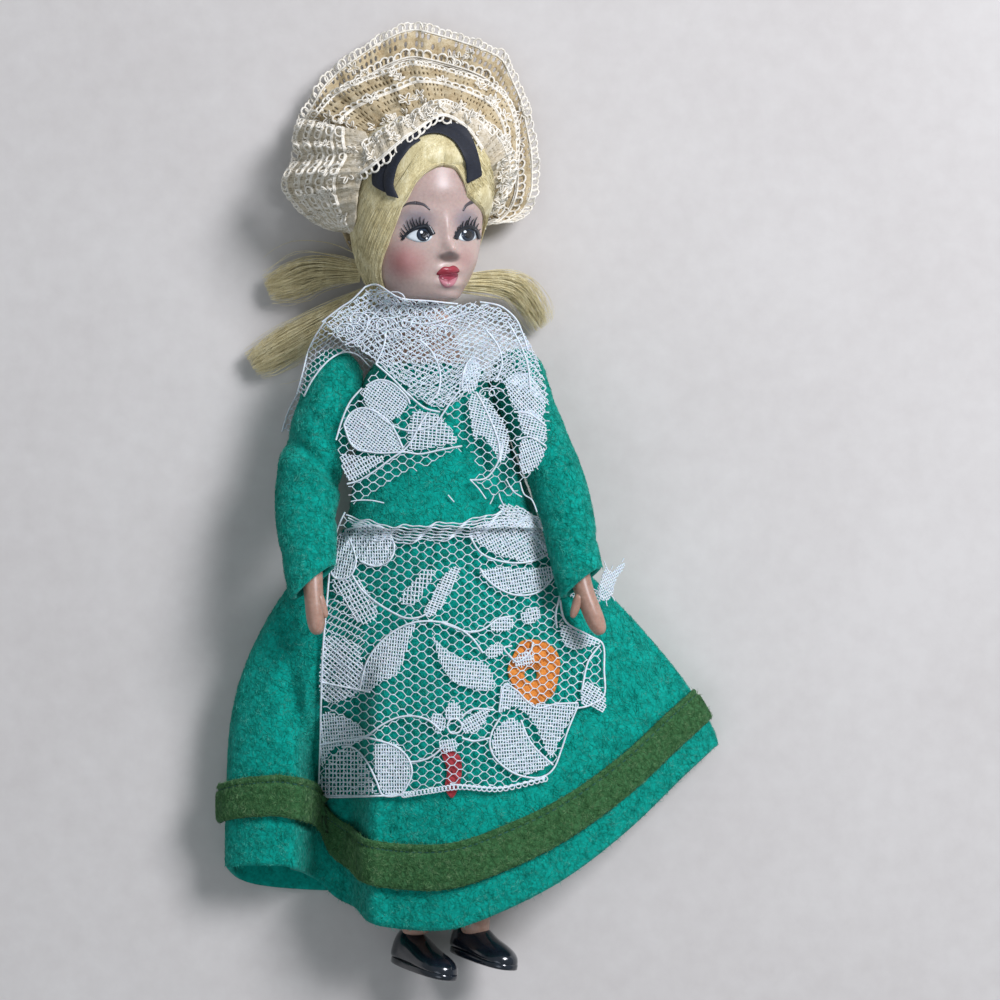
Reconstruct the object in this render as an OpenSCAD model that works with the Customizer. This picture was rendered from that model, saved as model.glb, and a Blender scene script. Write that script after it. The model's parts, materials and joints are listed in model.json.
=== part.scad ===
// Costume doll lying on its back: hard plastic body, felt dress, lace apron, shawl and bonnet.
// Frame: +Y towards the head, +X to the viewer's right, +Z up from the surface it lies on.

/* [Torso and legs] */
// Waist centre, sideways
waist_x = -5; // [-8:0.5:0]
// Waist height along the doll
waist_y = -2; // [-4:0.5:0]
// Height of the torso's middle above the table
torso_z = 13; // [12.5:0.25:14]
// Chest width
chest_w = 20; // [17:0.5:21]
// Chest depth
chest_d = 17; // [14:0.5:18]
// Waist width
waist_w = 19.6; // [16:0.4:21]
// Waist depth
waist_d = 14.4; // [12:0.4:15.6]
// Hip width
hip_w = 24; // [20:0.5:26]
// Hip depth
hip_d = 16; // [13:0.5:17]
// Waist to shoulder axis
torso_len = 24.5; // [22:0.5:27]
// Shoulder axis to the foot of the neck
shoulder_rise = 10; // [9:0.5:12]
// Length of the neck
neck_len = 5.4; // [4.5:0.1:6]
// Sideways lean of the shoulders against the waist
shoulder_lean = -3.5; // [-5:0.5:0]
// Waist to crotch
crotch_drop = 23; // [20:0.5:26]
// Crotch to ankle
leg_len = 58; // [54:0.5:62]
// Distance between the ankles
ankle_gap = 11.4; // [10:0.2:13]
// Thigh radius
thigh_r = 5.4; // [4.6:0.1:5.6]
// Ankle radius
ankle_r = 2.8; // [2.2:0.1:3.2]
// Height of the ankles' middle
ankle_z = 7.5; // [6:0.25:9]
// Wall of the hollow torso
body_wall = 1.3; // [1:0.1:1.8]

/* [Head] */
// Chin to crown
head_h = 33; // [30:0.5:36]
// Head radius at the temples
head_r = 12; // [11:0.25:13]
// Head centre, sideways from the neck
head_shift = -1; // [-2:0.25:0]
// Height of the head's middle above the table
head_z = 16.1; // [16:0.1:18]
// How far the head is turned to the viewer's right at rest
head_turn = 28; // [0:1:40]
// Nose length
nose_h = 1.8; // [1:0.1:2.4]
// Neck radius
neck_r = 4.8; // [4.4:0.1:5.4]
// Radius of the peg that the head turns on
peg_r = 3.2; // [2.6:0.1:3.6]
// Running clearance of the peg and of the arm stubs
run_fit = 0.05; // [0.03:0.01:0.09]
// Length of the peg inside the head
peg_in = 10; // [7:0.5:12]
// Gap between the chin's underside and the neck
neck_gap = 0.4; // [0.3:0.05:0.8]

/* [Arms] */
// Shoulder stub radius
stub_r = 2.6; // [2:0.1:3]
// Upper arm radius
arm_r = 3.2; // [2.8:0.1:3.6]
// Wrist radius
wrist_r = 2.1; // [1.8:0.1:2.4]
// Hand length
hand_len = 10.5; // [9:0.5:12]
// Hand width
hand_w = 4.4; // [3.8:0.2:5]
// Rise of the elbows above the shoulder axis
elbow_rise = 4.5; // [3.5:0.25:6]
// Height of the wrists above the table
wrist_z = 24; // [23:0.25:25]
// Elastic cord radius
cord_r = 0.7; // [0.5:0.05:0.9]
// Radius of the cord's end knots
knot_r = 1.5; // [1.2:0.1:1.8]

/* [Shoes] */
// Shoe length
shoe_len = 17; // [15:0.5:18]
// Shoe width
shoe_w = 8; // [7:0.25:8.5]
// Height of the heel counter
shoe_h = 7.4; // [7:0.1:8]
// Sole thickness
sole_t = 1.2; // [0.8:0.1:1.6]
// How far the toes point up from the table
toe_up = 50; // [40:1:58]
// Sideways tilt of the soles
sole_tilt = -10; // [-14:1:0]

/* [Dress] */
// Felt thickness
felt_t = 1.2; // [0.9:0.1:1.4]
// Gap between a felt piece and what it covers
ease = 0.3; // [0.2:0.05:0.4]
// Sleeve radius at the shoulder
sleeve_r = 7; // [6.4:0.2:7.4]
// Sleeve half width at the shoulder
sleeve_w = 5.6; // [5:0.2:6]
// Cuff radius
cuff_r = 4.2; // [3.8:0.1:4.4]
// Slack of the bodice at the waist
bodice_slack = 2.3; // [1:0.25:3]
// Waist to the lowest point of the hem
skirt_len = 78; // [74:1:82]
// Width of the skirt at the hem
skirt_w = 95; // [86:1:98]
// Height of the hem over the legs
hem_rise = 24; // [23:0.5:25]
// Width of the stitched felt hem band
band_w = 8.8; // [7:0.2:10]
// Rise of the hem band above the hem
band_rise = 8; // [6:0.5:10]
// Further rise of the band on the roll at the left
roll_rise = 4.5; // [3:0.5:6]
// Height of the skirt's front above the straight line from waist to hem
skirt_puff = 3; // [1:0.5:5]
// Depth of the large fold at the left of the hem
fold_depth = 10.5; // [6:0.5:11]

/* [Lace and ribbon] */
// Lace thickness
lace_t = 0.6; // [0.4:0.1:0.8]
// Gap between the apron and the felt under it
apron_ease = 0.95; // [0.9:0.05:1]
// Felt bits sewn under the apron, thickness
bit_t = 0.5; // [0.4:0.05:0.6]
// Width of the satin ribbon
ribbon_w = 3; // [2.5:0.25:4]

/* [Wig and bonnet] */
// Thickness of the hair on the head
hair_t = 2.2; // [1.8:0.1:2.6]
// Bonnet lace thickness
bonnet_t = 1; // [0.8:0.1:1.2]
// Bonnet brim, reach above the head's middle
brim_top = 32; // [29:0.5:34]
// Bonnet brim, reach to the right
brim_right = 21.5; // [20:0.5:23]
// Bonnet brim, reach to the left
brim_left = 26; // [24:0.5:28]
// Height of the brim's waves
brim_wave = 0.9; // [0.4:0.1:1.1]
// Height of one bonnet tier above the next
tier_step = 4.4; // [4:0.1:5]

/* [Hidden] */
big = 200;
$fn = 48;

shoulder_x = waist_x + shoulder_lean;
shoulder_y = waist_y + torso_len;
neck_y = shoulder_y + shoulder_rise;
chin_y = neck_y + neck_len + neck_gap;
crotch_y = waist_y - crotch_drop;
ankle_y = crotch_y - leg_len;
shoulder = [shoulder_x, shoulder_y, torso_z];
bodice_half = chest_w / 2 + ease + felt_t;
sleeve_out = bodice_half + 0.4 + sleeve_w;
head_c = [shoulder_x + head_shift, chin_y, head_z];
thread_gap = 0.15;
hair_gap = 0.6;

function unit(v) = v / norm(v);
function lerp(a, b, t) = a + (b - a) * t;
function bell(d, w) = exp(-(d / w) * (d / w));
function total(l, i = 0) = i == len(l) - 1 ? l[i] : l[i] + total(l, i + 1);

// Point s of a smooth curve through a list of points, closed or open
function spot(p, k, closed) = closed ? p[(k + len(p)) % len(p)] : p[max(0, min(len(p) - 1, k))];
function spline(p, s, closed = false) =
    let (k = floor(s), f = s - k,
         a = spot(p, k - 1, closed), b = spot(p, k, closed),
         c = spot(p, k + 1, closed), d = spot(p, k + 2, closed))
    0.5 * (2 * b + (c - a) * f + (2 * a - 5 * b + 4 * c - d) * f * f + (3 * b - a - 3 * c + d) * f * f * f);

// Ring of n points about c, across the direction d, with half widths rs and rt
function ring(c, d, rs, rt, n) =
    let (s = unit(cross(d, [0, 0, 1])), t = unit(cross(s, d)))
    [for (i = [0 : n - 1]) c + s * rs * cos(360 * i / n) + t * rt * sin(360 * i / n)];
function ring_normal(r) =
    let (c = total(r) / len(r))
    total([for (i = [0 : len(r) - 1]) cross(r[i] - c, r[(i + 1) % len(r)] - c)]);
function turned(f, flip) = flip ? [f[2], f[1], f[0]] : f;
function quad(a, b, c, d) = [[a, b, c], [a, c, d]];
function run_back(l) = [for (i = [len(l) - 1 : -1 : 0]) l[i]];
function flips(rings) = (total(rings[len(rings) - 1]) - total(rings[0])) * ring_normal(rings[0]) < 0;

// Closed solid through a stack of rings
module loft(rings) {
    n = len(rings[0]);
    m = len(rings);
    flip = flips(rings);
    sides = [for (k = [0 : m - 2], i = [0 : n - 1])
        each quad(k * n + i, (k + 1) * n + i, (k + 1) * n + (i + 1) % n, k * n + (i + 1) % n)];
    low = [for (i = [1 : n - 2]) [0, i, i + 1]];
    high = [for (i = [1 : n - 2]) [(m - 1) * n, (m - 1) * n + i + 1, (m - 1) * n + i]];
    polyhedron([for (r = rings) each r], [for (f = concat(sides, low, high)) turned(f, flip)]);
}

// Hollow sleeve between two stacks of rings, open at both ends
module shell(outer, inner) {
    n = len(outer[0]);
    m = len(outer);
    loop = concat(outer, run_back(inner));
    flip = flips(outer);
    faces = [for (k = [0 : 2 * m - 1], i = [0 : n - 1])
        let (a = k * n, b = ((k + 1) % (2 * m)) * n, j = (i + 1) % n)
        each quad(a + i, b + i, b + j, a + j)];
    polyhedron([for (r = loop) each r], [for (f = faces) turned(f, flip)]);
}

// Sheet of cloth between an upper and a lower grid of points
module sheet(top, low) {
    m = len(top);
    n = len(top[0]);
    rim = concat([for (i = [0 : n - 1]) i], [for (k = [1 : m - 1]) k * n + n - 1],
                 [for (i = [n - 2 : -1 : 0]) (m - 1) * n + i], [for (k = [m - 2 : -1 : 1]) k * n]);
    q = len(rim);
    up = [for (k = [0 : m - 2], i = [0 : n - 2])
        each quad(k * n + i, k * n + i + 1, (k + 1) * n + i + 1, (k + 1) * n + i)];
    down = [for (f = up) [f[2] + m * n, f[1] + m * n, f[0] + m * n]];
    edge = [for (i = [0 : q - 1]) let (a = rim[i], b = rim[(i + 1) % q])
        each quad(b, a, a + m * n, b + m * n)];
    facing = cross(top[0][1] - top[0][0], top[1][0] - top[0][0]) * (top[0][0] - low[0][0]);
    polyhedron([for (r = concat(top, low)) each r],
               [for (f = concat(up, down, edge)) turned(f, facing > 0)]);
}

// Torso stations: height above the waist, sideways centre, half width, half depth
torso_sides = 24;
torso_stations = [
    [torso_len + shoulder_rise + neck_len, shoulder_x, neck_r, neck_r],
    [torso_len + shoulder_rise - 1, shoulder_x, neck_r + 0.3, neck_r + 0.3],
    [torso_len + 4, shoulder_x, chest_w * 0.39, chest_d * 0.4],
    [torso_len, shoulder_x, chest_w / 2, chest_d / 2 - 0.6],
    [torso_len * 0.68, lerp(waist_x, shoulder_x, 0.7), chest_w / 2, chest_d / 2],
    [torso_len * 0.34, lerp(waist_x, shoulder_x, 0.3),
     lerp(waist_w, chest_w, 0.4) / 2, lerp(waist_d, chest_d, 0.4) / 2],
    [0, waist_x, waist_w / 2, waist_d / 2],
    [-crotch_drop * 0.35, waist_x, lerp(waist_w, hip_w, 0.7) / 2, lerp(waist_d, hip_d, 0.7) / 2],
    [-crotch_drop * 0.68, waist_x, hip_w / 2, hip_d / 2],
    [-crotch_drop, waist_x, hip_w * 0.44, hip_d * 0.42]];
function torso_rings(grow, first, last) = [for (k = [first : last])
    let (p = torso_stations[k])
    ring([p[1], waist_y + p[0], torso_z], [0, -1, 0], p[2] + grow, p[3] + grow, torso_sides)];
function bodice_rings(grow) = [for (k = [2 : 6])
    let (p = torso_stations[k], slack = bodice_slack * (1 - p[0] / (torso_len + shoulder_rise)))
    ring([p[1], waist_y + p[0], torso_z], [0, -1, 0], p[2] + grow + slack, p[3] + grow, torso_sides)];

// One leg from the hip to the ankle: thigh, knee, calf, ankle
leg_sides = 14;
function leg_rings(side) = let (x = waist_x + side * ankle_gap / 2) [for (p = [
    [0.18, thigh_r, 0], [-0.12, thigh_r, 0.05], [-0.45, thigh_r * 0.76, 0.45],
    [-0.55, thigh_r * 0.74, 0.55], [-0.72, thigh_r * 0.78, 0.7], [-0.9, ankle_r * 1.12, 0.92],
    [-1, ankle_r, 1]])
    ring([x, crotch_y + p[0] * leg_len, lerp(torso_z - 1, ankle_z, p[2])], [0, -1, 0],
         p[1], p[1], leg_sides)];

module along_x(at, r, from, to) {
    translate([at.x + from, at.y, at.z]) rotate([0, 90, 0]) cylinder(r = r, h = to - from);
}
module along_y(at, r, from, to) {
    translate([at.x, at.y + from, at.z]) rotate([-90, 0, 0]) cylinder(r = r, h = to - from);
}

// Torso and legs as one moulding, hollow in the torso, with the arm sockets and the neck hole
module body() {
    difference() {
        union() {
            loft(torso_rings(0, 0, 9));
            loft(leg_rings(-1));
            loft(leg_rings(1));
        }
        loft(torso_rings(-body_wall, 2, 7));
        along_x(shoulder, stub_r + run_fit, -chest_w, chest_w);
        along_y(shoulder, peg_r, 0, big);
    }
}
module body_front() {
    color("#a9a3ab") intersection() {
        body();
        translate([-big / 2, -big / 2, torso_z]) cube(big);
    }
}
module body_back() {
    color("#a9a3ab") intersection() {
        body();
        translate([-big / 2, -big / 2, torso_z - big]) cube(big);
    }
}

// Turned peg: glued in the neck, and free inside the head
module neck_peg() {
    color("#8f8890") along_y(shoulder, peg_r, shoulder_rise - 4, chin_y - shoulder_y + peg_in);
}

// Elastic cord that strings the arms, and the knots at its ends
knot_in = 1;
cord_half = sleeve_out + knot_in;
module arm_cord() {
    color("#d8d4c8") along_x(shoulder, cord_r, -cord_half, cord_half);
}
module cord_knots() {
    color("#d8d4c8") for (side = [-1, 1]) intersection() {
        translate(shoulder + [side * cord_half, 0, 0]) sphere(r = knot_r);
        translate(shoulder + [side * (cord_half + knot_r), 0, 0]) cube(2 * knot_r, center = true);
    }
}

// Shoe along its own x from heel to toe, sole on y = 0, opening at the heel end
shoe_sides = 16;
shoe_heel = shoe_w * 0.4;
shoe_toe = shoe_w * 0.48;
shoe_seat = 2;
module sole_outline() {
    translate([shoe_heel, 0]) circle(r = shoe_heel);
    translate([shoe_len - shoe_toe, 0]) circle(r = shoe_toe);
    polygon([[shoe_heel, -shoe_heel], [shoe_len - shoe_toe, -shoe_toe],
             [shoe_len - shoe_toe, shoe_toe], [shoe_heel, shoe_heel]]);
}
module shoe() {
    upper = [for (p = [[0.03, 0.5, 0.86], [0.1, 0.8, 0.98], [0.25, 0.86, 1], [0.42, 0.88, 0.86],
                       [0.58, 0.94, 0.68], [0.75, 0.96, 0.6], [0.88, 0.84, 0.5], [0.96, 0.56, 0.4],
                       [0.995, 0.25, 0.3]])
        let (x = p[0] * shoe_len, hw = p[1] * shoe_w / 2, h = p[2] * shoe_h)
        [for (i = [0 : shoe_sides - 1]) let (a = 180 * i / (shoe_sides - 1))
            [x, sole_t * 0.6 + max(0, h - sole_t * 0.6) * pow(sin(a), 0.7), -hw * cos(a)]]];
    loft(upper);
    rotate([-90, 0, 0]) linear_extrude(sole_t) sole_outline();
}
// The shoe stands under its ankle, which sits in a round opening
module shoe_placed(side) {
    ankle = [waist_x + side * ankle_gap / 2, ankle_y, ankle_z];
    tread = shoe_seat - shoe_h - side * ankle_gap / 2 * sin(sole_tilt);
    difference() {
        translate(ankle + [0, tread, 0]) rotate([0, 0, sole_tilt]) rotate([0, -toe_up, 0])
            translate([-shoe_len * 0.37, 0, 0]) shoe();
        along_y(ankle, ankle_r + thread_gap, -thread_gap, big);
    }
}
module right_shoe() {
    color("#14181f") shoe_placed(-1);
}
module left_shoe() {
    color("#14181f") shoe_placed(1);
}

// Bodice round the torso, with an armhole at each shoulder
module bodice() {
    color("#0f8a84") difference() {
        shell(bodice_rings(ease + felt_t), bodice_rings(ease));
        along_x(shoulder, stub_r + ease, -chest_w, chest_w);
    }
}

// Skirt: rays from the gathered waist to the hem, which lies on the table behind and stands
// over the legs in front. Hem points are shares: sideways of its width, down of its length, up of its rise
hem_shape = [
    [-0.447, 0.872, 0.229], [-0.437, 0.865, 0.479], [-0.379, 0.856, 0.625], [-0.295, 0.867, 0.646],
    [-0.232, 0.949, 0.667], [-0.174, 0.977, 0.771], [-0.1, 0.997, 0.896], [0.011, 0.996, 1],
    [0.116, 0.954, 0.979], [0.242, 0.879, 0.833], [0.368, 0.769, 0.646], [0.484, 0.644, 0.417],
    [0.553, 0.574, 0.2], [0.532, 0.59, 0.025], [0.453, 0.667, 0.004], [0.284, 0.808, 0.004],
    [0.095, 0.91, 0.004], [-0.116, 0.936, 0.004], [-0.284, 0.936, 0.004], [-0.411, 0.917, 0.025]];
hem_points = [for (p = hem_shape)
    [waist_x + p.x * skirt_w, waist_y - p.y * skirt_len, p.z * hem_rise]];
hem_knots = len(hem_points);
side_knot = 12;
fold_knot = 4;
skirt_cols = 3 * hem_knots;
waist_rx = waist_w / 2 + bodice_slack + 2 * ease + 2 * felt_t;
waist_rz = waist_d / 2 + 2 * ease + 2 * felt_t;
left_flare = 3.4;
right_flare = 1.35;
function skirt_angle(s) = s <= side_knot ? lerp(185, 5, s / side_knot)
    : lerp(5, -175, (s - side_knot) / (hem_knots - side_knot));
function skirt_spot(s, v) =
    let (a = skirt_angle(s), hem = spline(hem_points, s, true), front = max(0, sin(a)),
         top = [waist_x + waist_rx * cos(a), waist_y, torso_z + waist_rz * sin(a)],
         flare = lerp(left_flare, right_flare, (hem.x - waist_x) / skirt_w + 0.45),
         fold = fold_depth * bell(s - fold_knot, 0.85) * v * v * v)
    [lerp(top.x, hem.x, 1 - pow(1 - v, flare)), lerp(top.y, hem.y, v),
     lerp(top.z, hem.z, front > 0 ? v : 1 - pow(1 - v, 2))
         + skirt_puff * front * front * sin(180 * v) - fold];
// Point at a distance d outside the skirt
function skirt_off(s, v, d) =
    let (du = skirt_spot((s + 0.1) % hem_knots, v)
             - skirt_spot((s + hem_knots - 0.1) % hem_knots, v),
         dv = skirt_spot(s, min(1, v + 0.03)) - skirt_spot(s, max(0, v - 0.03)))
    skirt_spot(s, v) + d * unit(cross(dv, du));
function ray(s) = norm(spline(hem_points, s, true) - [waist_x, waist_y, torso_z]);
function roll_share(s) = (1 + cos(180 * min(1, max(0, (s - 3) / 2.5)))) / 2;
function band_low(s) = 1 - (band_rise + roll_rise * roll_share(s)) / ray(s);
function band_high(s) = band_low(s) - band_w / ray(s);
function skirt_rows(s) =
    [0, 0.08, 0.19, 0.31, 0.43, 0.56, band_high(s) - 0.09, band_high(s), band_low(s), 1];
function skirt_layer(d) = [for (k = [0 : 9]) [for (i = [0 : skirt_cols - 1])
    let (s = i * hem_knots / skirt_cols) skirt_off(s, skirt_rows(s)[k], d)]];
module skirt() {
    color("#0f8a84") shell(skirt_layer(0), skirt_layer(-felt_t));
}
// Felt strip round the hem; it leaves off where the skirt lies on the table
band_cols = 36;
module hem_band() {
    function layer(d) = [for (k = [0, 1]) [for (i = [0 : band_cols])
        let (s = i * side_knot / band_cols) skirt_off(s, k == 0 ? band_high(s) : band_low(s), d)]];
    color("#3a6f4f") sheet(layer(thread_gap + felt_t), layer(thread_gap));
}

// Apron over the skirt's front: its edges run from the waist, and its right side is drawn out past the hand
apron_rows = 8;
apron_cols = 20;
apron_foot = 0.68;
function apron_left(f) = lerp(2.9, 3.3, f);
function apron_right(f) = lerp(10.4, 9.3, f * f * f) + 0.5 * sin(180 * f);
apron_head = 0.01;
function apron_layer(d) = [for (k = [0 : apron_rows]) [for (i = [0 : apron_cols])
    let (f = k / apron_rows)
    skirt_off(lerp(apron_left(f), apron_right(f), i / apron_cols), lerp(apron_head, apron_foot, f), d)]];
module lace_apron() {
    color("#e8eef4") sheet(apron_layer(apron_ease + lace_t), apron_layer(apron_ease));
}
// Felt bit sewn on the skirt between two rays and two heights
module felt_bit(s0, s1, v0, v1) {
    function layer(d) = [for (k = [0 : 3]) [for (i = [0 : 3])
        skirt_off(lerp(s0, s1, i / 3), lerp(v0, v1, k / 3), d)]];
    sheet(layer(thread_gap + bit_t), layer(thread_gap));
}
module orange_bit() {
    color("#d98a3a") felt_bit(8.55, 9.45, 0.33, 0.44);
}
module red_bit() {
    color("#a8323a") felt_bit(6.85, 7.15, 0.58, 0.67);
}
// Loose end of the apron's lace beside the left cuff
module apron_scrap() {
    f = 0.3;
    cuff = spline(arm_path(1), 1.96);
    seam = skirt_off(apron_right(f), f * apron_foot, apron_ease);
    edge = [cuff.x - 0.9, cuff.y + 4.6, seam.z - 0.4];
    function layer(t) = [for (k = [0 : 3]) [for (i = [0 : 3])
        edge + [k * 2, k * 0.5 - i * 1.5, t - k * 0.9]]];
    color("#e8eef4") sheet(layer(lace_t), layer(0));
}

// Lace shawl: the front hangs over the chest and the left shoulder, the back lies under the shoulders
shawl_top = chin_y - 0.6;
shawl_low = waist_y + 3;
shawl_front_z = torso_z + chest_d / 2 + ease + felt_t + ease;
shawl_lift = 3;
shawl_rows = 10;
shawl_cols = 14;
function shawl_left(t) = lerp(-12, -13.8, sin(90 * min(1, t * 2.2))) + shoulder_x;
function shawl_right(t) = shoulder_x + lerp(11, 23.5, sin(90 * min(1, t * 1.7)));
shawl_notch = 9;
notch_half = 0.2;
function shawl_foot(c) = shawl_low
    + shawl_notch * sin(90 * max(0, notch_half - abs(c - 0.5)) / notch_half);
function shawl_spot(r, c, z) =
    let (x = lerp(shawl_left(r), shawl_right(r), c), y = lerp(shawl_top, shawl_foot(c), r),
         dx = x - shoulder_x)
    [x, y, shawl_front_z + z - dx * dx * (dx < 0 ? 0.0055 : 0.0015) - (1 - r) * (1 - r) * 2.4
        + (dx > 0 ? shawl_lift * r * r * pow(dx / 23, 2) : 0)];
module shawl_front() {
    function layer(z) = [for (r = [0 : shawl_rows]) [for (c = [0 : shawl_cols])
        shawl_spot(r / shawl_rows, c / shawl_cols, z)]];
    color("#e8eef4") sheet(layer(lace_t), layer(0));
}
shawl_back_z = torso_z - chest_d / 2 - felt_t - 2 * ease - lace_t;
module shawl_back() {
    low = [[-25, -7], [-21, 4], [-15, 9], [13, 9], [19, 2], [17, -8]];
    color("#e8eef4") translate([shoulder_x, shoulder_y, shawl_back_z])
        linear_extrude(lace_t) polygon(low);
}

// Head surface: polar round the head's middle, a from the way the face looks, h from chin to crown
head_sides = 40;
head_profile = [[0, 0.52], [0.06, 0.66], [0.14, 0.8], [0.24, 0.9], [0.36, 0.97], [0.5, 1], [0.64, 1.01],
                [0.77, 0.95], [0.87, 0.8], [0.94, 0.58], [0.985, 0.3], [1, 0.12]];
function head_share(h) = lookup(h, head_profile);
function head_radius(a, h) =
    let (face = a > 180 ? a - 360 : a)
    head_r * head_share(h) * (1 + 0.04 * cos(2 * a))
    + nose_h * bell(face, 9) * bell(h - 0.34, 0.05)
    + 1.5 * bell(face, 26) * bell(h - 0.07, 0.06)
    - 0.5 * bell(face, 14) * bell(h - 0.5, 0.06);
face_x = [cos(head_turn), 0, -sin(head_turn)];
face_z = [sin(head_turn), 0, cos(head_turn)];
function head_spot(a, h, grow) =
    head_c + [0, h * (head_h + grow), 0]
    + (head_radius(a, h) + grow) * (face_z * cos(a) + face_x * sin(a));
module head() {
    difference() {
        loft([for (p = head_profile) [for (i = [0 : head_sides - 1])
            head_spot((i + 0.5) * 360 / head_sides, p[0], 0)]]);
        along_y([shoulder_x, chin_y, torso_z], peg_r + run_fit, -1, peg_in + 1);
    }
}
module head_half(front) {
    intersection() {
        head();
        translate(head_c) rotate([0, head_turn, 0])
            translate([-big / 2, -big / 2, front ? 0 : -big]) cube(big);
    }
}
module head_front() {
    color("#b8aeb4") head_half(true);
}
module head_back() {
    color("#b8aeb4") head_half(false);
}

// Wig: a cap of combed hair that leaves the face open up to the parting
hair_rows = 12;
hair_cols = 30;
parting = 3;
function face_open(h) = h > 0.8 ? parting : lerp(parting, 62, sqrt(1 - pow(max(0, h) / 0.8, 2.6)));
function hair_spot(r, c, grow) =
    let (h = lerp(0.02, 0.99, r / hair_rows), w = face_open(h))
    head_spot(lerp(w, 360 - w, c / hair_cols), h, grow);
module hair_cap() {
    function layer(grow) = [for (r = [0 : hair_rows]) [for (c = [0 : hair_cols]) hair_spot(r, c, grow)]];
    color("#cfc9a8") sheet(layer(hair_t), layer(hair_gap));
}

// Tuft of loose hair along three points, thick in the middle and flat at the tip
module tuft(p, r) {
    color("#cfc9a8") loft([for (k = [0 : 6])
        let (c = spline(p, k / 3),
             d = spline(p, min(2, k / 3 + 0.1)) - spline(p, max(0, k / 3 - 0.1)),
             w = r * [0.5, 0.8, 1, 1.05, 1, 0.85, 0.5][k])
        ring(c, d, w, w * 0.62, 10)]);
}
function tuft_root(a, h) = head_spot(a, h, hair_t + hair_gap);
module right_tuft_upper() {
    tuft([tuft_root(224, 0.17), head_c + [-21, 6.2, -10], head_c + [-30, 4, -12.4]], 3.4);
}
module right_tuft_lower() {
    tuft([tuft_root(221, 0.05), head_c + [-23, -5.5, -10.5], head_c + [-33.5, -13, -12.6]], 3.6);
}
module left_tuft() {
    tuft([tuft_root(84, 0.12), head_c + [17.5, 3.4, -8.5], head_c + [23.4, -4, -12.6]], 2.6);
}

// Bonnet: fans of lace round the head, a at the right edge to the left edge over the top
bonnet_c = [head_c.x, chin_y + head_h * 0.6, 0];
hair_reach = head_r * 1.06 + hair_t + hair_gap;
function brim_reach(a) = a < 90 ? lerp(brim_right, brim_top, pow(sin(max(0, a)), 1.6))
    : lerp(brim_left, brim_top, pow(sin(min(180, a)), 1.6));
fan_cols = 44;
fan_rows = 4;
fan_from = -16;
fan_to = 200;
fan_waves = 12;
module fan(inner, share, z_in, z_out, wave) {
    function at(r, c, t) =
        let (a = lerp(fan_from, fan_to, c / fan_cols), f = r / fan_rows,
             d = lerp(inner, brim_reach(a) * share, f))
        bonnet_c + [d * cos(a), d * sin(a), lerp(z_in, z_out, f) + wave * f * sin(fan_waves * a) + t];
    function layer(t) = [for (r = [0 : fan_rows]) [for (c = [0 : fan_cols]) at(r, c, t)]];
    color("#c9bfa8") sheet(layer(bonnet_t), layer(0));
}
crown_z = tier_step;
crown_rim = hair_reach + hair_gap;
crown_hole = hair_reach * 0.35;
module bonnet_crown() {
    function stack(points) = [for (p = points)
        ring(bonnet_c + [0, 0, p[1]], [0, 0.0001, 1], p[0], p[0], 40)];
    color("#c9bfa8") shell(
        stack([[crown_hole, 0], [hair_reach * 0.8, 0], [crown_rim + bonnet_t, crown_z - ease]]),
        stack([[crown_hole, bonnet_t], [hair_reach * 0.75, bonnet_t], [crown_rim, crown_z - ease]]));
}
module bonnet_brim() {
    fan(hair_reach + hair_gap, 1, crown_z, crown_z + 1, brim_wave);
}
module bonnet_tier() {
    fan(hair_reach + hair_gap, 0.86, crown_z + bonnet_t + ease, crown_z + tier_step + bonnet_t, brim_wave);
}
module bonnet_ruffle() {
    fan(hair_reach + hair_gap, 0.74, crown_z + 2 * (bonnet_t + ease), crown_z + 3 * tier_step,
        brim_wave * 1.5);
}
// Satin ribbon arched over the hair under the bonnet's front
ribbon_cols = 20;
ribbon_half = 64;
ribbon_t = 0.4;
module bonnet_ribbon() {
    function at(r, c, grow) =
        let (u = lerp(-1, 1, c / ribbon_cols), a = u * ribbon_half,
             h = 0.93 - 0.2 * u * u - (1 - r) * ribbon_w / head_h)
        head_spot(a < 0 ? a + 360 : a, h, grow);
    function layer(grow) = [for (r = [0, 1]) [for (c = [0 : ribbon_cols]) at(r, c, grow)]];
    color("#1c2430") sheet(layer(hair_t + thread_gap + ribbon_t), layer(hair_t + thread_gap));
}

// Arm along four points from the shoulder to the fingertips; side is -1 for the doll's right
shoulder_half = sleeve_w * 0.43;
stub_len = sleeve_out - chest_w / 2 + body_wall - 1.2;
elbow_out = [5, 7.8];
wrist_out = [3.6, 11.5];
finger_out = [2.6, 15.5];
elbow_drop = 20;
wrist_drop = 36.5;
function arm_path(side) = let (k = side < 0 ? 0 : 1) [
    shoulder + [side * sleeve_out, 0, 0],
    shoulder + [side * (sleeve_out + elbow_out[k]), -elbow_drop, elbow_rise],
    [shoulder_x + side * (sleeve_out + wrist_out[k]), shoulder_y - wrist_drop, wrist_z],
    [shoulder_x + side * (sleeve_out + finger_out[k]), shoulder_y - wrist_drop - hand_len, wrist_z + 0.5]];
function arm_way(side, s) =
    spline(arm_path(side), min(3, s + 0.1)) - spline(arm_path(side), max(0, s - 0.1));
function arm_ring(side, s, rs, rt, n) = ring(spline(arm_path(side), s), arm_way(side, s), rs, rt, n);
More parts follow.
